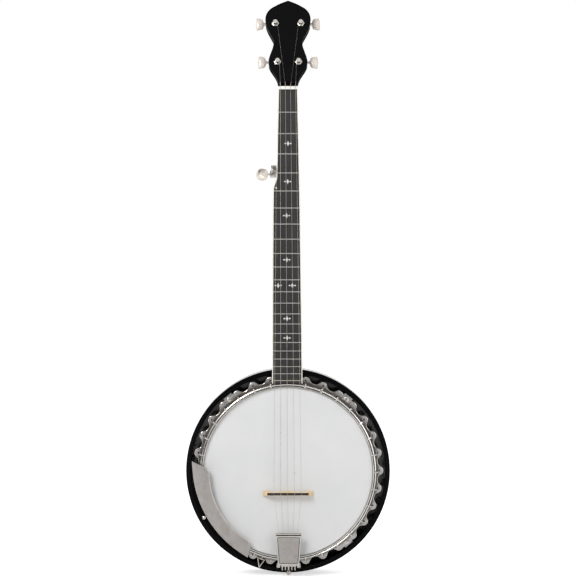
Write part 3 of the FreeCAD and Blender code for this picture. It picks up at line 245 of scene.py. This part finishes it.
def rgb(red, green, blue):
    """A colour given in display values of 0 to 255, as the shader's linear values."""
    out = []
    for value in (red, green, blue):
        v = value / 255
        out.append(v / 12.92 if v <= 0.04045 else ((v + 0.055) / 1.055) ** 2.4)
    return (*out, 1.0)


def metal(name, base, tarnish, low_rough, high_rough, scale=45.0, brushed=None, amount=0.5, dark_above=None):
    """Plated or bare metal: tarnish in soft patches, wandering roughness, brush lines if asked, and painted shade,
    a darker run above a given height."""
    material, tree, shader, coords = fresh(name)
    smudged(tree, shader, coords, scale, low_rough, high_rough)
    dirt = noise(tree, coords, scale * 2.6, 5.0, 0.65)
    patch = remap(tree, dirt.outputs["Fac"], 0.45, 0.75, 0.0, amount)
    tone = mixed(tree, patch, base, tarnish)
    # painted shade: the colour darkens toward grey above the dark_above height
    if dark_above:
        height = add(tree, "ShaderNodeSeparateXYZ", [(0, coords)]).outputs["Z"]
        darkness = remap(tree, height, dark_above, dark_above + 0.004, 0.0, 0.85)
        tone = mixed(tree, darkness, tone, rgb(52, 52, 52))
    tree.links.new(tone, shader.inputs["Base Color"])
    shader.inputs["Metallic"].default_value = 1.0
    if brushed:
        lines = noise(tree, times(tree, coords, brushed), 1.0, 3.0)
        bump(tree, shader, lines.outputs["Fac"], 0.00004)
    else:
        bump(tree, shader, dirt.outputs["Fac"], 0.00002)
    return material


LOW_GLOSS_IOR = 1.15


def lacquer(name, base, low_rough=0.04, high_rough=0.12):
    """Deep gloss black: faint polishing swirls in the roughness and a slight orange peel."""
    material, tree, shader, coords = fresh(name)
    smudged(tree, shader, coords, 18.0, low_rough, high_rough)
    peel = noise(tree, coords, 260.0, 2.0)
    cloud = noise(tree, coords, 9.0, 3.0)
    tone = mixed(tree, cloud.outputs["Fac"], base, tuple(c * 1.8 + 0.0005 for c in base[:3]) + (1,))
    tree.links.new(tone, shader.inputs["Base Color"])
    shader.inputs["IOR"].default_value = LOW_GLOSS_IOR
    bump(tree, shader, peel.outputs["Fac"], 0.000012)
    return material


def plain_wood(name, light, dark, stretch, rough=0.45, pores=0.5):
    """Oiled or waxed wood: grain along one axis under a wandering sheen."""
    material, tree, shader, coords = fresh(name)
    grain = use_group(tree, GRAIN, [("Vector", coords), ("Stretch", stretch), ("Light", light), ("Dark", dark),
                                    ("Pores", pores)])
    smudged(tree, shader, coords, 30.0, rough - 0.08, rough + 0.1)
    tree.links.new(grain.outputs["Color"], shader.inputs["Base Color"])
    bump(tree, shader, grain.outputs["Height"], 0.00006)
    return material


def mahogany_burst(name):
    """Dark mahogany: grain along the neck, red-brown at the centre of the back, shaded to black outward, with
    pale inlaid rings; black and without shine on the headstock's own wood."""
    material, tree, shader, coords = fresh(name)
    grain = use_group(tree, GRAIN, [("Vector", coords), ("Stretch", (150.0, 150.0, 7.0)),
                                    ("Light", rgb(124, 58, 34)), ("Dark", rgb(58, 22, 14)), ("Pores", 0.6)])
    parts = add(tree, "ShaderNodeSeparateXYZ", [(0, coords)])
    radius = axis_distance(tree, parts)
    head_from, head_to, pot_radius = 0.615, 0.635, 0.1705
    on_head = remap(tree, parts.outputs["Z"], head_from, head_to, 0.0, 1.0)
    on_pot = maths(tree, "LESS_THAN", radius, pot_radius)
    shade = maths(tree, "MULTIPLY", remap(tree, radius, 0.085, 0.165, 0.0, 0.96), on_pot)
    shade = maths(tree, "MAXIMUM", shade, on_head)
    colour = mixed(tree, shade, grain.outputs["Color"], rgb(14, 8, 7))
    rings = None
    inlaid_rings = (0.1475, 0.0011), (0.1515, 0.0005), (0.0560, 0.0009)
    for middle, half in inlaid_rings:
        away = maths(tree, "ABSOLUTE", maths(tree, "SUBTRACT", radius, middle))
        ring = maths(tree, "LESS_THAN", away, half)
        rings = ring if rings is None else maths(tree, "MAXIMUM", rings, ring)
    on_back = maths(tree, "GREATER_THAN", parts.outputs["Y"], -0.004)
    rings = maths(tree, "MULTIPLY", rings, on_back)
    colour = mixed(tree, rings, colour, rgb(222, 206, 168))
    tree.links.new(colour, shader.inputs["Base Color"])
    smudged(tree, shader, coords, 16.0, 0.12, 0.26)
    off_head = maths(tree, "SUBTRACT", 1.0, on_head)
    tree.links.new(maths(tree, "MULTIPLY", off_head, 0.7), shader.inputs["Coat Weight"])
    tree.links.new(maths(tree, "MULTIPLY", off_head, 0.5), shader.inputs["Specular IOR Level"])
    shader.inputs["Coat Roughness"].default_value = 0.05
    bump(tree, shader, grain.outputs["Height"], 0.00002)
    return material


def frosted_head(name):
    """Sprayed white film: a fine pebble over faint cloudiness."""
    material, tree, shader, coords = fresh(name)
    pebble = noise(tree, coords, 1500.0, 3.0, 0.7)
    cloud = remap(tree, noise(tree, coords, 14.0, 4.0).outputs["Fac"], 0.3, 0.7, 0.0, 1.0)
    tone = mixed(tree, cloud, rgb(222, 223, 223), rgb(229, 229, 229))
    speck = mixed(tree, remap(tree, pebble.outputs["Fac"], 0.55, 0.8, 0.0, 0.25), tone, rgb(205, 206, 207))
    tree.links.new(speck, shader.inputs["Base Color"])
    smudged(tree, shader, coords, 40.0, 0.5, 0.7)
    bump(tree, shader, pebble.outputs["Fac"], 0.00005)
    return material


def pearl(name, tints, scale, rough=0.18):
    """Shell or pearloid: angular flakes whose tint changes from cell to cell, warped by noise."""
    material, tree, shader, coords = fresh(name)
    push = times(tree, noise(tree, coords, scale * 0.6, 3.0).outputs["Color"], (1.4 / scale,) * 3)
    moved = add(tree, "ShaderNodeVectorMath", [(0, coords), (1, push)], operation="ADD")
    cells = add(tree, "ShaderNodeTexVoronoi", [("Vector", moved.outputs[0]), ("Scale", scale)])
    parts = add(tree, "ShaderNodeSeparateColor", [(0, cells.outputs["Color"])])
    colour = mixed(tree, parts.outputs[0], tints[0], tints[1])
    colour = mixed(tree, maths(tree, "MULTIPLY", parts.outputs[1], 0.6), colour, tints[2])
    tree.links.new(colour, shader.inputs["Base Color"])
    rough_value = remap(tree, parts.outputs[2], 0.0, 1.0, rough - 0.06, rough + 0.08)
    tree.links.new(rough_value, shader.inputs["Roughness"])
    shader.inputs["Coat Weight"].default_value = 0.5
    shader.inputs["Coat Roughness"].default_value = 0.05
    bump(tree, shader, cells.outputs["Distance"], 0.00001)
    return material


def smooth_plastic(name, base, second, scale=60.0, rough=0.3, ior=1.45):
    """Binding, bone or plastic: a faint streak or mottle and a handled sheen."""
    material, tree, shader, coords = fresh(name)
    streak = noise(tree, times(tree, coords, (6.0, 6.0, 1.0)), scale, 4.0)
    tone = mixed(tree, remap(tree, streak.outputs["Fac"], 0.35, 0.7, 0.0, 1.0), base, second)
    tree.links.new(tone, shader.inputs["Base Color"])
    smudged(tree, shader, coords, scale, rough - 0.08, rough + 0.08)
    shader.inputs["IOR"].default_value = ior
    bump(tree, shader, streak.outputs["Fac"], 0.00001)
    return material


def pot_metal(name, base, painted_shade, middle, half, soft, low_rough, high_rough):
    """Nickel on a ring about the pot's axis, with painted shade darkening a band of radii, from middle by half
    each way.
    """
    material, tree, shader, coords = fresh(name)
    parts = add(tree, "ShaderNodeSeparateXYZ", [(0, coords)])
    radius = axis_distance(tree, parts)
    away = maths(tree, "ABSOLUTE", maths(tree, "SUBTRACT", radius, middle))
    # painted shade: a band of radii darkened toward the given shade colour, where shade falls
    shade_band = remap(tree, away, half, half + soft, 1.0, 0.0)
    blotch = noise(tree, coords, 90.0, 4.0, 0.6)
    shade_band = maths(tree, "MULTIPLY", shade_band, remap(tree, blotch.outputs["Fac"], 0.3, 0.7, 0.75, 1.0))
    smudge = smudged(tree, shader, coords, 70.0, low_rough, high_rough)
    darker = tuple(c * 0.72 for c in base[:3]) + (1,)
    tone = mixed(tree, remap(tree, smudge.outputs["Mask"], 0.0, 1.0, 0.0, 0.5), base, darker)
    tree.links.new(mixed(tree, shade_band, tone, painted_shade), shader.inputs["Base Color"])
    rough = maths(tree, "ADD", smudge.outputs["Roughness"], maths(tree, "MULTIPLY", shade_band, 0.25))
    tree.links.new(rough, shader.inputs["Roughness"])
    shader.inputs["Metallic"].default_value = 1.0
    bump(tree, shader, blotch.outputs["Fac"], 0.00004)
    return material


FINISH = {
    "black_gloss": lacquer("black_gloss", rgb(5, 5, 6)),
    "mahogany_burst": mahogany_burst("mahogany_burst"),
    "maple": plain_wood("maple", rgb(250, 226, 188), rgb(232, 198, 152), (260.0, 260.0, 30.0), pores=0.25),
    "bronze": metal("bronze", rgb(186, 150, 96), rgb(120, 88, 50), 0.25, 0.45),
    "aluminium": metal("aluminium", rgb(205, 205, 208), rgb(160, 160, 163), 0.3, 0.5),
    "steel": metal("steel", rgb(178, 178, 180), rgb(120, 116, 112), 0.22, 0.42),
    "nickel": metal("nickel", rgb(214, 210, 204), rgb(150, 144, 136), 0.06, 0.2, amount=0.4),
    "nickel_satin": metal("nickel_satin", rgb(186, 181, 177), rgb(150, 145, 141), 0.3, 0.48,
                          brushed=(40.0, 900.0, 900.0)),
    "frosted_head": frosted_head("frosted_head"),
    "black_plastic": smooth_plastic("black_plastic", rgb(7, 7, 8), rgb(13, 12, 12), rough=0.3,
                                    ior=LOW_GLOSS_IOR),
    "rosewood": plain_wood("rosewood", rgb(50, 48, 46), rgb(27, 26, 25), (330.0, 330.0, 12.0), rough=0.42,
                           pores=0.8),
    "cream_binding": smooth_plastic("cream_binding", rgb(250, 247, 236), rgb(240, 234, 216), rough=0.25),
    "pearl": pearl("pearl", (rgb(236, 238, 236), rgb(206, 214, 216), rgb(232, 222, 214)), 260.0),
    "bone": smooth_plastic("bone", rgb(252, 251, 246), rgb(243, 240, 230), rough=0.3),
    "ebony": plain_wood("ebony", rgb(38, 34, 32), rgb(18, 16, 15), (300.0, 60.0, 300.0), rough=0.35,
                        pores=0.4),
    # strings with painted shade past the nut, over the headstock
    "string_steel": metal("string_steel", rgb(206, 204, 199), rgb(170, 166, 160), 0.25, 0.4, dark_above=0.641),
    "button_pearl": pearl("button_pearl", (rgb(238, 229, 220), rgb(222, 208, 196), rgb(244, 238, 230)), 150.0,
                          rough=0.2),
}
for entry in frame["record"]["subparts"]:
    mesh = nodes[entry["node"]].data
    mesh.materials.clear()
    mesh.materials.append(FINISH[entry["material_slot"]])
# flange nickel with painted shade: a darker band of radii inside the raised rim
flange_nickel = pot_metal("flange_nickel", rgb(196, 194, 192), rgb(96, 94, 93), middle=0.1478, half=0.0012,
                          soft=0.0045, low_rough=0.16, high_rough=0.34)
# hoop nickel: a base lighter than plain nickel, a painted highlight, and painted shade as a dark line in the
# hoop's groove
hoop_nickel = pot_metal("hoop_nickel", rgb(238, 235, 229), rgb(26, 25, 25), middle=0.1428, half=0.0005,
                        soft=0.0003, low_rough=0.08, high_rough=0.2)
nodes["flange"].data.materials[0] = flange_nickel
dull_black = smooth_plastic("dull_black", rgb(8, 8, 8), rgb(15, 14, 14), rough=0.6, ior=1.02)

# ---- edges and shading of the CAD pieces --------------------------------------------------------

def build_smoother():
    """Shades faces smooth and keeps every edge sharper than half a radian crisp."""
    tree = bpy.data.node_groups.new("smooth_by_angle", "GeometryNodeTree")
    tree.interface.new_socket("Geometry", in_out="INPUT", socket_type="NodeSocketGeometry")
    tree.interface.new_socket("Geometry", in_out="OUTPUT", socket_type="NodeSocketGeometry")
    source, sink = tree.nodes.new("NodeGroupInput"), tree.nodes.new("NodeGroupOutput")
    faces = tree.nodes.new("GeometryNodeSetShadeSmooth")
    faces.domain = "FACE"
    tree.links.new(source.outputs[0], faces.inputs["Geometry"])
    faces.inputs["Shade Smooth"].default_value = True
    edges = tree.nodes.new("GeometryNodeSetShadeSmooth")
    edges.domain = "EDGE"
    edges.inputs["Shade Smooth"].default_value = False
    angle = tree.nodes.new("GeometryNodeInputMeshEdgeAngle")
    sharp = tree.nodes.new("FunctionNodeCompare")
    sharp.data_type = "FLOAT"
    sharp.operation = "GREATER_THAN"
    tree.links.new(angle.outputs["Unsigned Angle"], sharp.inputs[0])
    sharp.inputs[1].default_value = 0.5
    tree.links.new(faces.outputs[0], edges.inputs["Geometry"])
    tree.links.new(sharp.outputs[0], edges.inputs["Selection"])
    tree.links.new(edges.outputs[0], sink.inputs[0])
    return tree


SMOOTHER = build_smoother()
SOFT_EDGES = {
    # node: width of its worn edges in mm
    "bridge_base": 0.35, "nut": 0.3, "tuner_bushings": 0.3, "tuner_plates": 0.25,
    "fifth_tuner_case": 0.7, "armrest_clamp": 0.3, "resonator_screws": 0.3, "bracket_nuts": 0.3,
    "coordinator_nuts": 0.3, "strap_ring_clip": 0.15, "rim": 0.6,
}
for name, node in nodes.items():
    weld = node.modifiers.new("weld", "WELD")
    weld.merge_threshold = 2e-6
    if SOFT_EDGES.get(name):
        edge = node.modifiers.new("edge", "BEVEL")
        edge.width = SOFT_EDGES[name] * MM
        edge.segments = 2
        edge.limit_method = "ANGLE"
        edge.angle_limit = math.radians(38)
        edge.use_clamp_overlap = True
        edge.harden_normals = True
    smooth = node.modifiers.new("smooth", "NODES")
    smooth.node_group = SMOOTHER

# ---- new surfaces -------------------------------------------------------------------------------

def surface(name, grids, body, slot, ring=False):
    """One mesh from grids of points (row, column, xyz) in metres. Columns close on themselves, and rows do too
    when ring is set; otherwise the first and last rows are capped."""
    points, faces, start = [], [], 0
    for grid in grids:
        rows, columns = grid.shape[:2]
        i, j = np.meshgrid(np.arange(rows if ring else rows - 1), np.arange(columns), indexing="ij")
        below, beside = (i + 1) % rows, (j + 1) % columns
        here, there = i * columns, below * columns
        quads = np.stack([here + j, here + beside, there + beside, there + j], -1)
        faces += (quads.reshape(-1, 4) + start).tolist()
        if not ring:
            faces += [list(range(start, start + columns)),
                      list(range(start + (rows - 1) * columns, start + rows * columns))]
        points.append(grid.reshape(-1, 3))
        start += rows * columns
    mesh = bpy.data.meshes.new(name)
    mesh.from_pydata(np.concatenate(points).tolist(), [], faces)
    build = bmesh.new()
    build.from_mesh(mesh)
    bmesh.ops.recalc_face_normals(build, faces=build.faces)
    build.to_mesh(mesh)
    build.free()
    mesh.materials.append(FINISH[slot])
    piece = bpy.data.objects.new(name, mesh)
    bpy.context.scene.collection.objects.link(piece)
    piece.modifiers.new("smooth", "NODES").node_group = SMOOTHER
    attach(piece, body)
    return piece


def tube(line, radius, closed=False):
    """A round rod's grid along a line of points in mm that stays near one plane of constant depth: each section
    is a circle in the plane of the depth axis and the line's own sideways direction."""
    line = np.asarray(line, float)
    if closed:
        ahead, behind = np.roll(line, -1, 0), np.roll(line, 1, 0)
    else:
        ahead, behind = np.vstack([line[1:], line[-1:]]), np.vstack([line[:1], line[:-1]])
    run = ahead - behind
    run /= np.linalg.norm(run, axis=1)[:, None]
    depth_axis = np.array([0.0, 1.0, 0.0])
    side = np.cross(run, depth_axis)
    side /= np.linalg.norm(side, axis=1)[:, None]
    turn = np.linspace(0, 2 * np.pi, 12, endpoint=False)
    circle = np.cos(turn)[None, :, None] * side[:, None, :] + np.sin(turn)[None, :, None] * depth_axis
    return (line[:, None, :] + radius * circle) * MM


def stretched(corners, count=12):
    """Points spread evenly along the straight runs between corners."""
    corners = np.asarray(corners, float)
    share = np.linspace(0, 1, count, endpoint=False)[:, None]
    runs = [a + (b - a) * share for a, b in zip(corners[:-1], corners[1:])]
    return np.vstack(runs + [corners[-1:]])


def armrest_shell():
    """The armrest: a crowned sheet between an inner arc with rounded corners and an outer edge that draws in at
    the middle; its section rises as a power of a sine across the width and turns down into a lip."""
    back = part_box("armrest")[0][1] / MM + 1.6
    start, end, slant_low, slant_high = 205.4, 276.7, 1.8, 4.0
    waist, inner, corner = 152.4, 129.0, 8.5
    u = np.concatenate([np.linspace(0, 0.09, 16), np.linspace(0.1, 0.9, 70), np.linspace(0.91, 1, 16)])
    outer = waist + np.interp(u, [0, 0.093, 0.205, 0.345, 0.485, 0.626, 0.766, 0.878, 0.934, 1],
                              [2.4, 1.0, 0.3, 0.0, 0.1, 0.9, 2.4, 4.0, 5.0, 7.2])
    kernel = np.ones(9) / 9
    outer = np.convolve(np.pad(outer, 4, "edge"), kernel, "valid")
    arc = (end - start - slant_low - slant_high) * np.pi / 180 * inner
    nearest = np.minimum(u, 1 - u) * arc
    near = np.clip(corner - nearest, 0, corner)
    inside = inner + corner - np.sqrt(np.clip(corner ** 2 - near ** 2, 0, None))
    share = np.concatenate([[0.0, 0.01, 0.03], np.linspace(0.08, 0.92, 12),
                            [0.96, 0.985, 0.997, 1.0, 1.0, 1.0]])
    rise = 0.5 + 1.9 * np.sin(np.pi * np.clip(share, 0, 1)) ** 0.4
    rise[-3:] = [0.1, -1.8, -5.0]
    share = np.concatenate([share, [0.945, 0.945, 0.5, 0.01]])
    rise = np.concatenate([rise, [-5.0, -0.2, 0.0, 0.0]])
    radius = inside[:, None] + share * (outer - inside)[:, None]
    place = (radius - inner) / (outer[:, None] - inner)
    first = start + slant_low * (1 - place)
    last = end - slant_high * (1 - place)
    angle = np.radians(first + (last - first) * u[:, None])
    grid = np.stack([radius * np.sin(angle), back - rise + 0 * radius, radius * np.cos(angle)], -1) * MM
    piece = surface("armrest_shell", [grid], "banjo", "nickel_satin")
    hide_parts("armrest")
    return piece


def armrest_shade_sheet():
    """Painted shade, which is no piece of the instrument: a thin dull black sheet over the flange's lobes beyond
    the armrest's outer edge, that slopes outward and back. Its depth is a power of its share of the way out."""
    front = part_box("armrest")[0][1] / MM + 1.5
    start, end = 206.2, 274.8
    u = np.linspace(0, 1, 90)
    angle = np.radians(start + (end - start) * u)[:, None]
    edge = 151.6 + np.interp(u, [0, 0.1, 0.25, 0.62, 0.78, 0.9, 1], [2.2, 0.9, 0.1, 0.8, 2.4, 4.0, 5.4])
    rim = np.maximum(edge + 1.0, 159.6 - 2.0 * np.clip(0.06 - u, 0, 1) / 0.06)
    share = np.linspace(0, 1, 9)
    out = edge[:, None] + share * (rim - edge)[:, None]
    depth = front + 11.0 * share ** 1.6
    inner_out, inner_depth = out[:, ::-1] - 0.3, depth[::-1] + 0.9
    radius = np.concatenate([out, inner_out], 1)
    y = np.concatenate([depth, inner_depth])[None, :] + 0 * radius
    grid = np.stack([radius * np.sin(angle), y, radius * np.cos(angle)], -1) * MM
    piece = surface("armrest_shade_sheet", [grid], "banjo", "black_plastic")
    # dull black without reflections, for the painted shade
    piece.data.materials[0] = dull_black
    return piece


def tension_hoop_ring():
    """The tension hoop: one profile, of a rounded inner rim, a groove and an outer rim that slopes outward,
    turned about the pot's axis."""
    low_corner, high_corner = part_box("tension_hoop")
    front, back, outer = low_corner[1] / MM, high_corner[1] / MM, high_corner[0] / MM
    inner = outer - 5.2
    profile = np.array([
        (inner, back), (inner, front + 0.9), (inner + 0.15, front + 0.3), (inner + 0.5, front),
        (inner + 1.1, front), (inner + 1.5, front + 0.25), (inner + 1.7, front + 0.8),
        (inner + 1.75, front + 2.7),
        (outer - 2.2, front + 2.7), (outer - 2.15, front + 0.5), (outer - 2.0, front + 0.1),
        (outer - 1.8, front), (outer - 1.2, front + 0.1),
        (outer - 0.6, front + 0.3), (outer - 0.2, front + 0.55), (outer, front + 1.0), (outer, back)])
    angle = np.linspace(0, 2 * np.pi, 360, endpoint=False)[:, None]
    radius, depth = profile.T
    grid = np.stack([radius * np.sin(angle), depth + 0 * angle, radius * np.cos(angle)], -1) * MM
    piece = surface("tension_hoop_ring", [grid], "banjo", "nickel", ring=True)
    piece.data.materials[0] = hoop_nickel
    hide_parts("tension_hoop")
    return piece


def tailpiece_lines():
    """The dark joint round the tailpiece's inset panel, and a dull black strip under its front roll."""
    low_corner, high_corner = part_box("tailpiece_panel")
    cover_low, cover_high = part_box("tailpiece_cover")
    left, right, top, foot = low_corner[0] / MM, high_corner[0] / MM, high_corner[2] / MM, low_corner[2] / MM
    taper = 3.1
    face = low_corner[1] / MM + 0.12
    frame_line = stretched([(left, face, top), (right, face, top), (right - taper, face, foot),
                            (left + taper, face, foot), (left, face, top)])[:-1]
    roll_top = cover_high[2] / MM
    roll_front = cover_low[1] / MM
    # a dull black line just below the top of the front roll
    strip_top = roll_top - 3.3
    dark_strip = stretched([(left - 2.2, roll_front + 0.3, strip_top), (right + 2.2, roll_front + 0.3, strip_top)])
    piece = surface("tailpiece_joint", [tube(frame_line, 0.55, closed=True)], "tailpiece_cover",
                    "black_plastic", ring=True)
    strip = surface("tailpiece_dark_strip", [tube(dark_strip, 1.0)], "tailpiece_cover", "black_plastic")
    strip.data.materials[0] = dull_black
    return piece, strip


armrest_shell()
armrest_shade_sheet()
tension_hoop_ring()
tailpiece_lines()


BUTTON_STRETCH = 1.15


def keystone_button(node, body, tilt):
    """A tuner button: a superellipse |cos|^p, |sin|^p swept away from the neck, whose width grows from the
    collar to a broad shoulder and then slowly to the end, and whose thickness swells in the middle."""
    low_corner, high_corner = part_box(node)
    middle = (low_corner + high_corner) / 2
    reach = high_corner[0] - low_corner[0]
    outward = 1.0 if middle[0] > 0 else -1.0
    tall, deep = high_corner[2] - low_corner[2], high_corner[1] - low_corner[1]
    c, s = math.cos(tilt), math.sin(tilt)
    wide = BUTTON_STRETCH * (tall * c - deep * s) / (c * c - s * s)
    thick = (deep * c - tall * s) / (c * c - s * s)
    share = np.array([0.0, 0.02, 0.06, 0.1, 0.16, 0.24, 0.36, 0.52, 0.68, 0.82, 0.91, 0.96, 0.99, 1.0])
    width = np.interp(share, [0, 0.06, 0.12, 0.2, 0.4, 0.85, 0.95, 1.0],
                      [0.24, 0.36, 0.66, 0.8, 0.86, 0.97, 0.95, 0.78])
    swell = np.interp(share, [0, 0.08, 0.25, 0.5, 0.8, 0.95, 1.0], [0.44, 0.62, 0.88, 1.0, 0.9, 0.62, 0.4])
    round_end = np.sqrt(np.clip(1 - (np.clip(share - 0.88, 0, 1) / 0.125) ** 2, 0.02, 1))
    turn = np.linspace(0, 2 * np.pi, 40, endpoint=False)
    across = np.sign(np.cos(turn)) * np.abs(np.cos(turn)) ** 0.55
    over = np.sign(np.sin(turn)) * np.abs(np.sin(turn)) ** 0.75
    x = middle[0] + outward * (share[:, None] - 0.5) * reach + 0 * turn
    a = 0.5 * wide * (width * (0.55 + 0.45 * round_end))[:, None] * across
    b = 0.5 * thick * (swell * (0.3 + 0.7 * round_end))[:, None] * over
    y = middle[1] + a * s - b * c
    z = middle[2] + a * c + b * s
    piece = surface(node + "_pearl", [np.stack([x, y, z], -1)], body, "button_pearl")
    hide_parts(node)
    return piece


HEAD_TILT = math.radians(14)
for corner in ("upper_left", "upper_right", "lower_left", "lower_right"):
    keystone_button("button_" + corner, "tuner_shaft_" + corner, HEAD_TILT)


def flange_edge_bead():
    """The raised rim of the cast flange: a half-round bead carried round the lobed edge, whose radius runs from
    a valley between two hooks, up a steep flank, to a rounded tip at each hook."""
    low_corner, high_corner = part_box("flange")
    tip = high_corner[0] / MM
    lobes, steps_per_lobe = 32, 24
    phase = np.array([0, 0.05, 0.11, 0.15, 0.2, 0.27, 0.33, 0.42, 0.5])
    drop = np.array([0, 0.15, 0.6, 1.6, 3.2, 5.6, 7.5, 8.2, 8.4])
    steps = lobes * steps_per_lobe
    along = np.arange(steps) / steps_per_lobe
    radius = tip - 1.0 - np.interp(np.abs((along + 0.5) % 1 - 0.5), phase, drop)
    angle = 2 * np.pi * along / lobes
    section = np.linspace(0, 2 * np.pi, 10, endpoint=False)
    bead = 0.75
    r = radius[:, None] + bead * np.cos(section)
    x = r * np.sin(angle)[:, None]
    z = r * np.cos(angle)[:, None]
    y = low_corner[1] / MM + 0 * r - 0.62 * bead * np.sin(section)
    keep = np.abs(x[:, 0]) > 18.5
    keep |= z[:, 0] < 0
    spans = np.split(np.arange(steps), np.flatnonzero(np.diff(keep.astype(int)) != 0) + 1)
    spans = [span for span in spans if keep[span[0]] and len(span) > 3]
    grids = [np.stack([x[span], y[span], z[span]], -1) * MM for span in spans]
    return surface("flange_edge_bead", grids, "banjo", "nickel")


flange_edge_bead()


def headstock_edge():
    """The rounded edge of the headstock's black face: a band carried round the head's outline, its width given
    at places along the face and smoothed by a running mean, its section a slab with a rounded outer corner."""
    c, s = math.cos(HEAD_TILT), math.sin(HEAD_TILT)
    root_y, root_z = -97.5, 637.0
    along = np.array([6.6, 8, 14.7, 21.4, 28.1, 33.6, 38.7, 43.7, 49.3, 55.9, 62.6, 69.9, 76, 80.5, 87.2,
                      92.5, 97.2, 102.5, 105, 111.7, 118.4, 124.8, 129.9, 134.9, 138.7, 142.1, 146.8, 151.9])
    width = np.array([16.7, 17.0, 19.5, 23.1, 27.6, 31.0, 32.3, 32.6, 31.6, 29.6, 27.1, 24.7, 23.9, 24.6, 27.6,
                      30.7, 32.9, 35.3, 36.1, 37.5, 37.9, 37.2, 35.2, 31.6, 27.4, 21.0, 11.0, 0.0])
    loop_x = np.concatenate([width, -width[-2::-1]])
    loop_s = np.concatenate([along, along[-2::-1]])
    run = np.concatenate([[0], np.cumsum(np.hypot(np.diff(loop_x), np.diff(loop_s)))])
    steps = np.linspace(0, run[-1], 500)
    kernel = np.ones(11) / 11
    x = np.convolve(np.pad(np.interp(steps, run, loop_x), 5, "edge"), kernel, "valid")
    up = np.convolve(np.pad(np.interp(steps, run, loop_s), 5, "edge"), kernel, "valid")
    dx, ds = np.gradient(x), np.gradient(up)
    length = np.hypot(dx, ds)
    nx, ns = ds / length, -dx / length
    inset = np.array([2.5, 0.5, 0.12, 0.0, 0.0, 2.5])
    out = np.array([0.03, 0.03, -0.15, -0.5, -1.6, -1.6])
    px = x[:, None] - nx[:, None] * inset
    ps = up[:, None] - ns[:, None] * inset
    y = root_y + ps * s - out * c
    z = root_z + ps * c + out * s
    return surface("headstock_edge", [np.stack([px, y, z], -1) * MM], "banjo", "black_gloss")


def knob_ball():
    """The tailpiece's adjusting knob: a stem, a thin collar and a ball, one profile turned about the stem."""
    low_corner, high_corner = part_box("tailpiece_knob")
    middle_x, middle_y = (low_corner[0] + high_corner[0]) / 2 / MM, (low_corner[1] + high_corner[1]) / 2 / MM
    top, ball, stem = high_corner[2] / MM, 4.2, 1.5
    centre = low_corner[2] / MM + 1.6
    round_off = np.linspace(math.acos(stem / ball), -math.pi / 2 + 0.08, 18)
    radius = np.concatenate([[stem - 0.3, stem, stem, 2.6, 2.6, stem, stem], ball * np.cos(round_off)])
    z = np.concatenate([[top, top - 0.3, -151.6, -151.7, -153.1, -153.2, -158.0],
                        centre + ball * np.sin(round_off)])
    turn = np.linspace(0, 2 * np.pi, 36, endpoint=False)
    grid = np.stack([middle_x + radius[:, None] * np.cos(turn), middle_y + radius[:, None] * np.sin(turn),
                     z[:, None] + 0 * turn], -1) * MM
    piece = surface("knob_ball", [grid], "tailpiece_knob", "nickel")
    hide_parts("tailpiece_knob")
    return piece


headstock_edge()
knob_ball()

# ---- floor and backdrop -------------------------------------------------------------------------

floor_mesh = bpy.data.meshes.new("floor")
half_floor = 8.0
floor_z = low[2] - 0.004
floor_mesh.from_pydata([(-half_floor, -half_floor, floor_z), (half_floor, -half_floor, floor_z),
                        (half_floor, half_floor, floor_z), (-half_floor, half_floor, floor_z)], [], [(0, 1, 2, 3)])
floor = bpy.data.objects.new("floor", floor_mesh)
bpy.context.scene.collection.objects.link(floor)
floor_material, tree, shader, coords = fresh("floor_paper")
shader.inputs["Base Color"].default_value = (0.86, 0.86, 0.86, 1)
shader.inputs["Roughness"].default_value = 0.9
path = add(tree, "ShaderNodeLightPath")
shader.inputs["Emission Color"].default_value = (1, 1, 1, 1)
in_metal = maths(tree, "MULTIPLY", path.outputs["Is Glossy Ray"], 0.12)
seen = maths(tree, "MULTIPLY", path.outputs["Is Camera Ray"], 0.63)
tree.links.new(maths(tree, "MAXIMUM", seen, in_metal), shader.inputs["Emission Strength"])
floor_mesh.materials.append(floor_material)

world = bpy.data.worlds.new("studio")
bpy.context.scene.world = world
world.use_nodes = True
tree = world.node_tree
background = tree.nodes["Background"]
path = add(tree, "ShaderNodeLightPath")
seen = maths(tree, "MAXIMUM", path.outputs["Is Camera Ray"], path.outputs["Is Transmission Ray"])
background.inputs["Color"].default_value = (1, 1, 1, 1)
direction = add(tree, "ShaderNodeSeparateXYZ", [(0, add(tree, "ShaderNodeTexCoord").outputs["Generated"])])
bands = add(tree, "ShaderNodeValToRGB", [(0, maths(tree, "MULTIPLY_ADD", direction.outputs["Z"], 0.5, 0.5))])
stops = bands.color_ramp.elements
stops[0].position, stops[0].color = 0.42, (0.75, 0.75, 0.75, 1)
stops[1].position, stops[1].color = 0.97, (0.05, 0.05, 0.05, 1)
for height, level in ((0.49, 0.22), (0.58, 0.25), (0.66, 1.0), (0.8, 1.0), (0.88, 0.12)):
    stop = stops.new(height)
    stop.color = (level, level, level, 1)
facing = remap(tree, direction.outputs["Y"], 0.25, -0.1, 0.0, 1.0)
studio_card = mixed(tree, facing, (1, 1, 1, 1), bands.outputs["Color"])
in_gloss = maths(tree, "MULTIPLY", path.outputs["Is Glossy Ray"], studio_card)
plain_level = maths(tree, "SUBTRACT", 1.0, maths(tree, "MAXIMUM", seen, path.outputs["Is Glossy Ray"]))
total = maths(tree, "ADD", maths(tree, "MULTIPLY", plain_level, 0.45), maths(tree, "ADD", seen, in_gloss))
tree.links.new(total, background.inputs["Strength"])
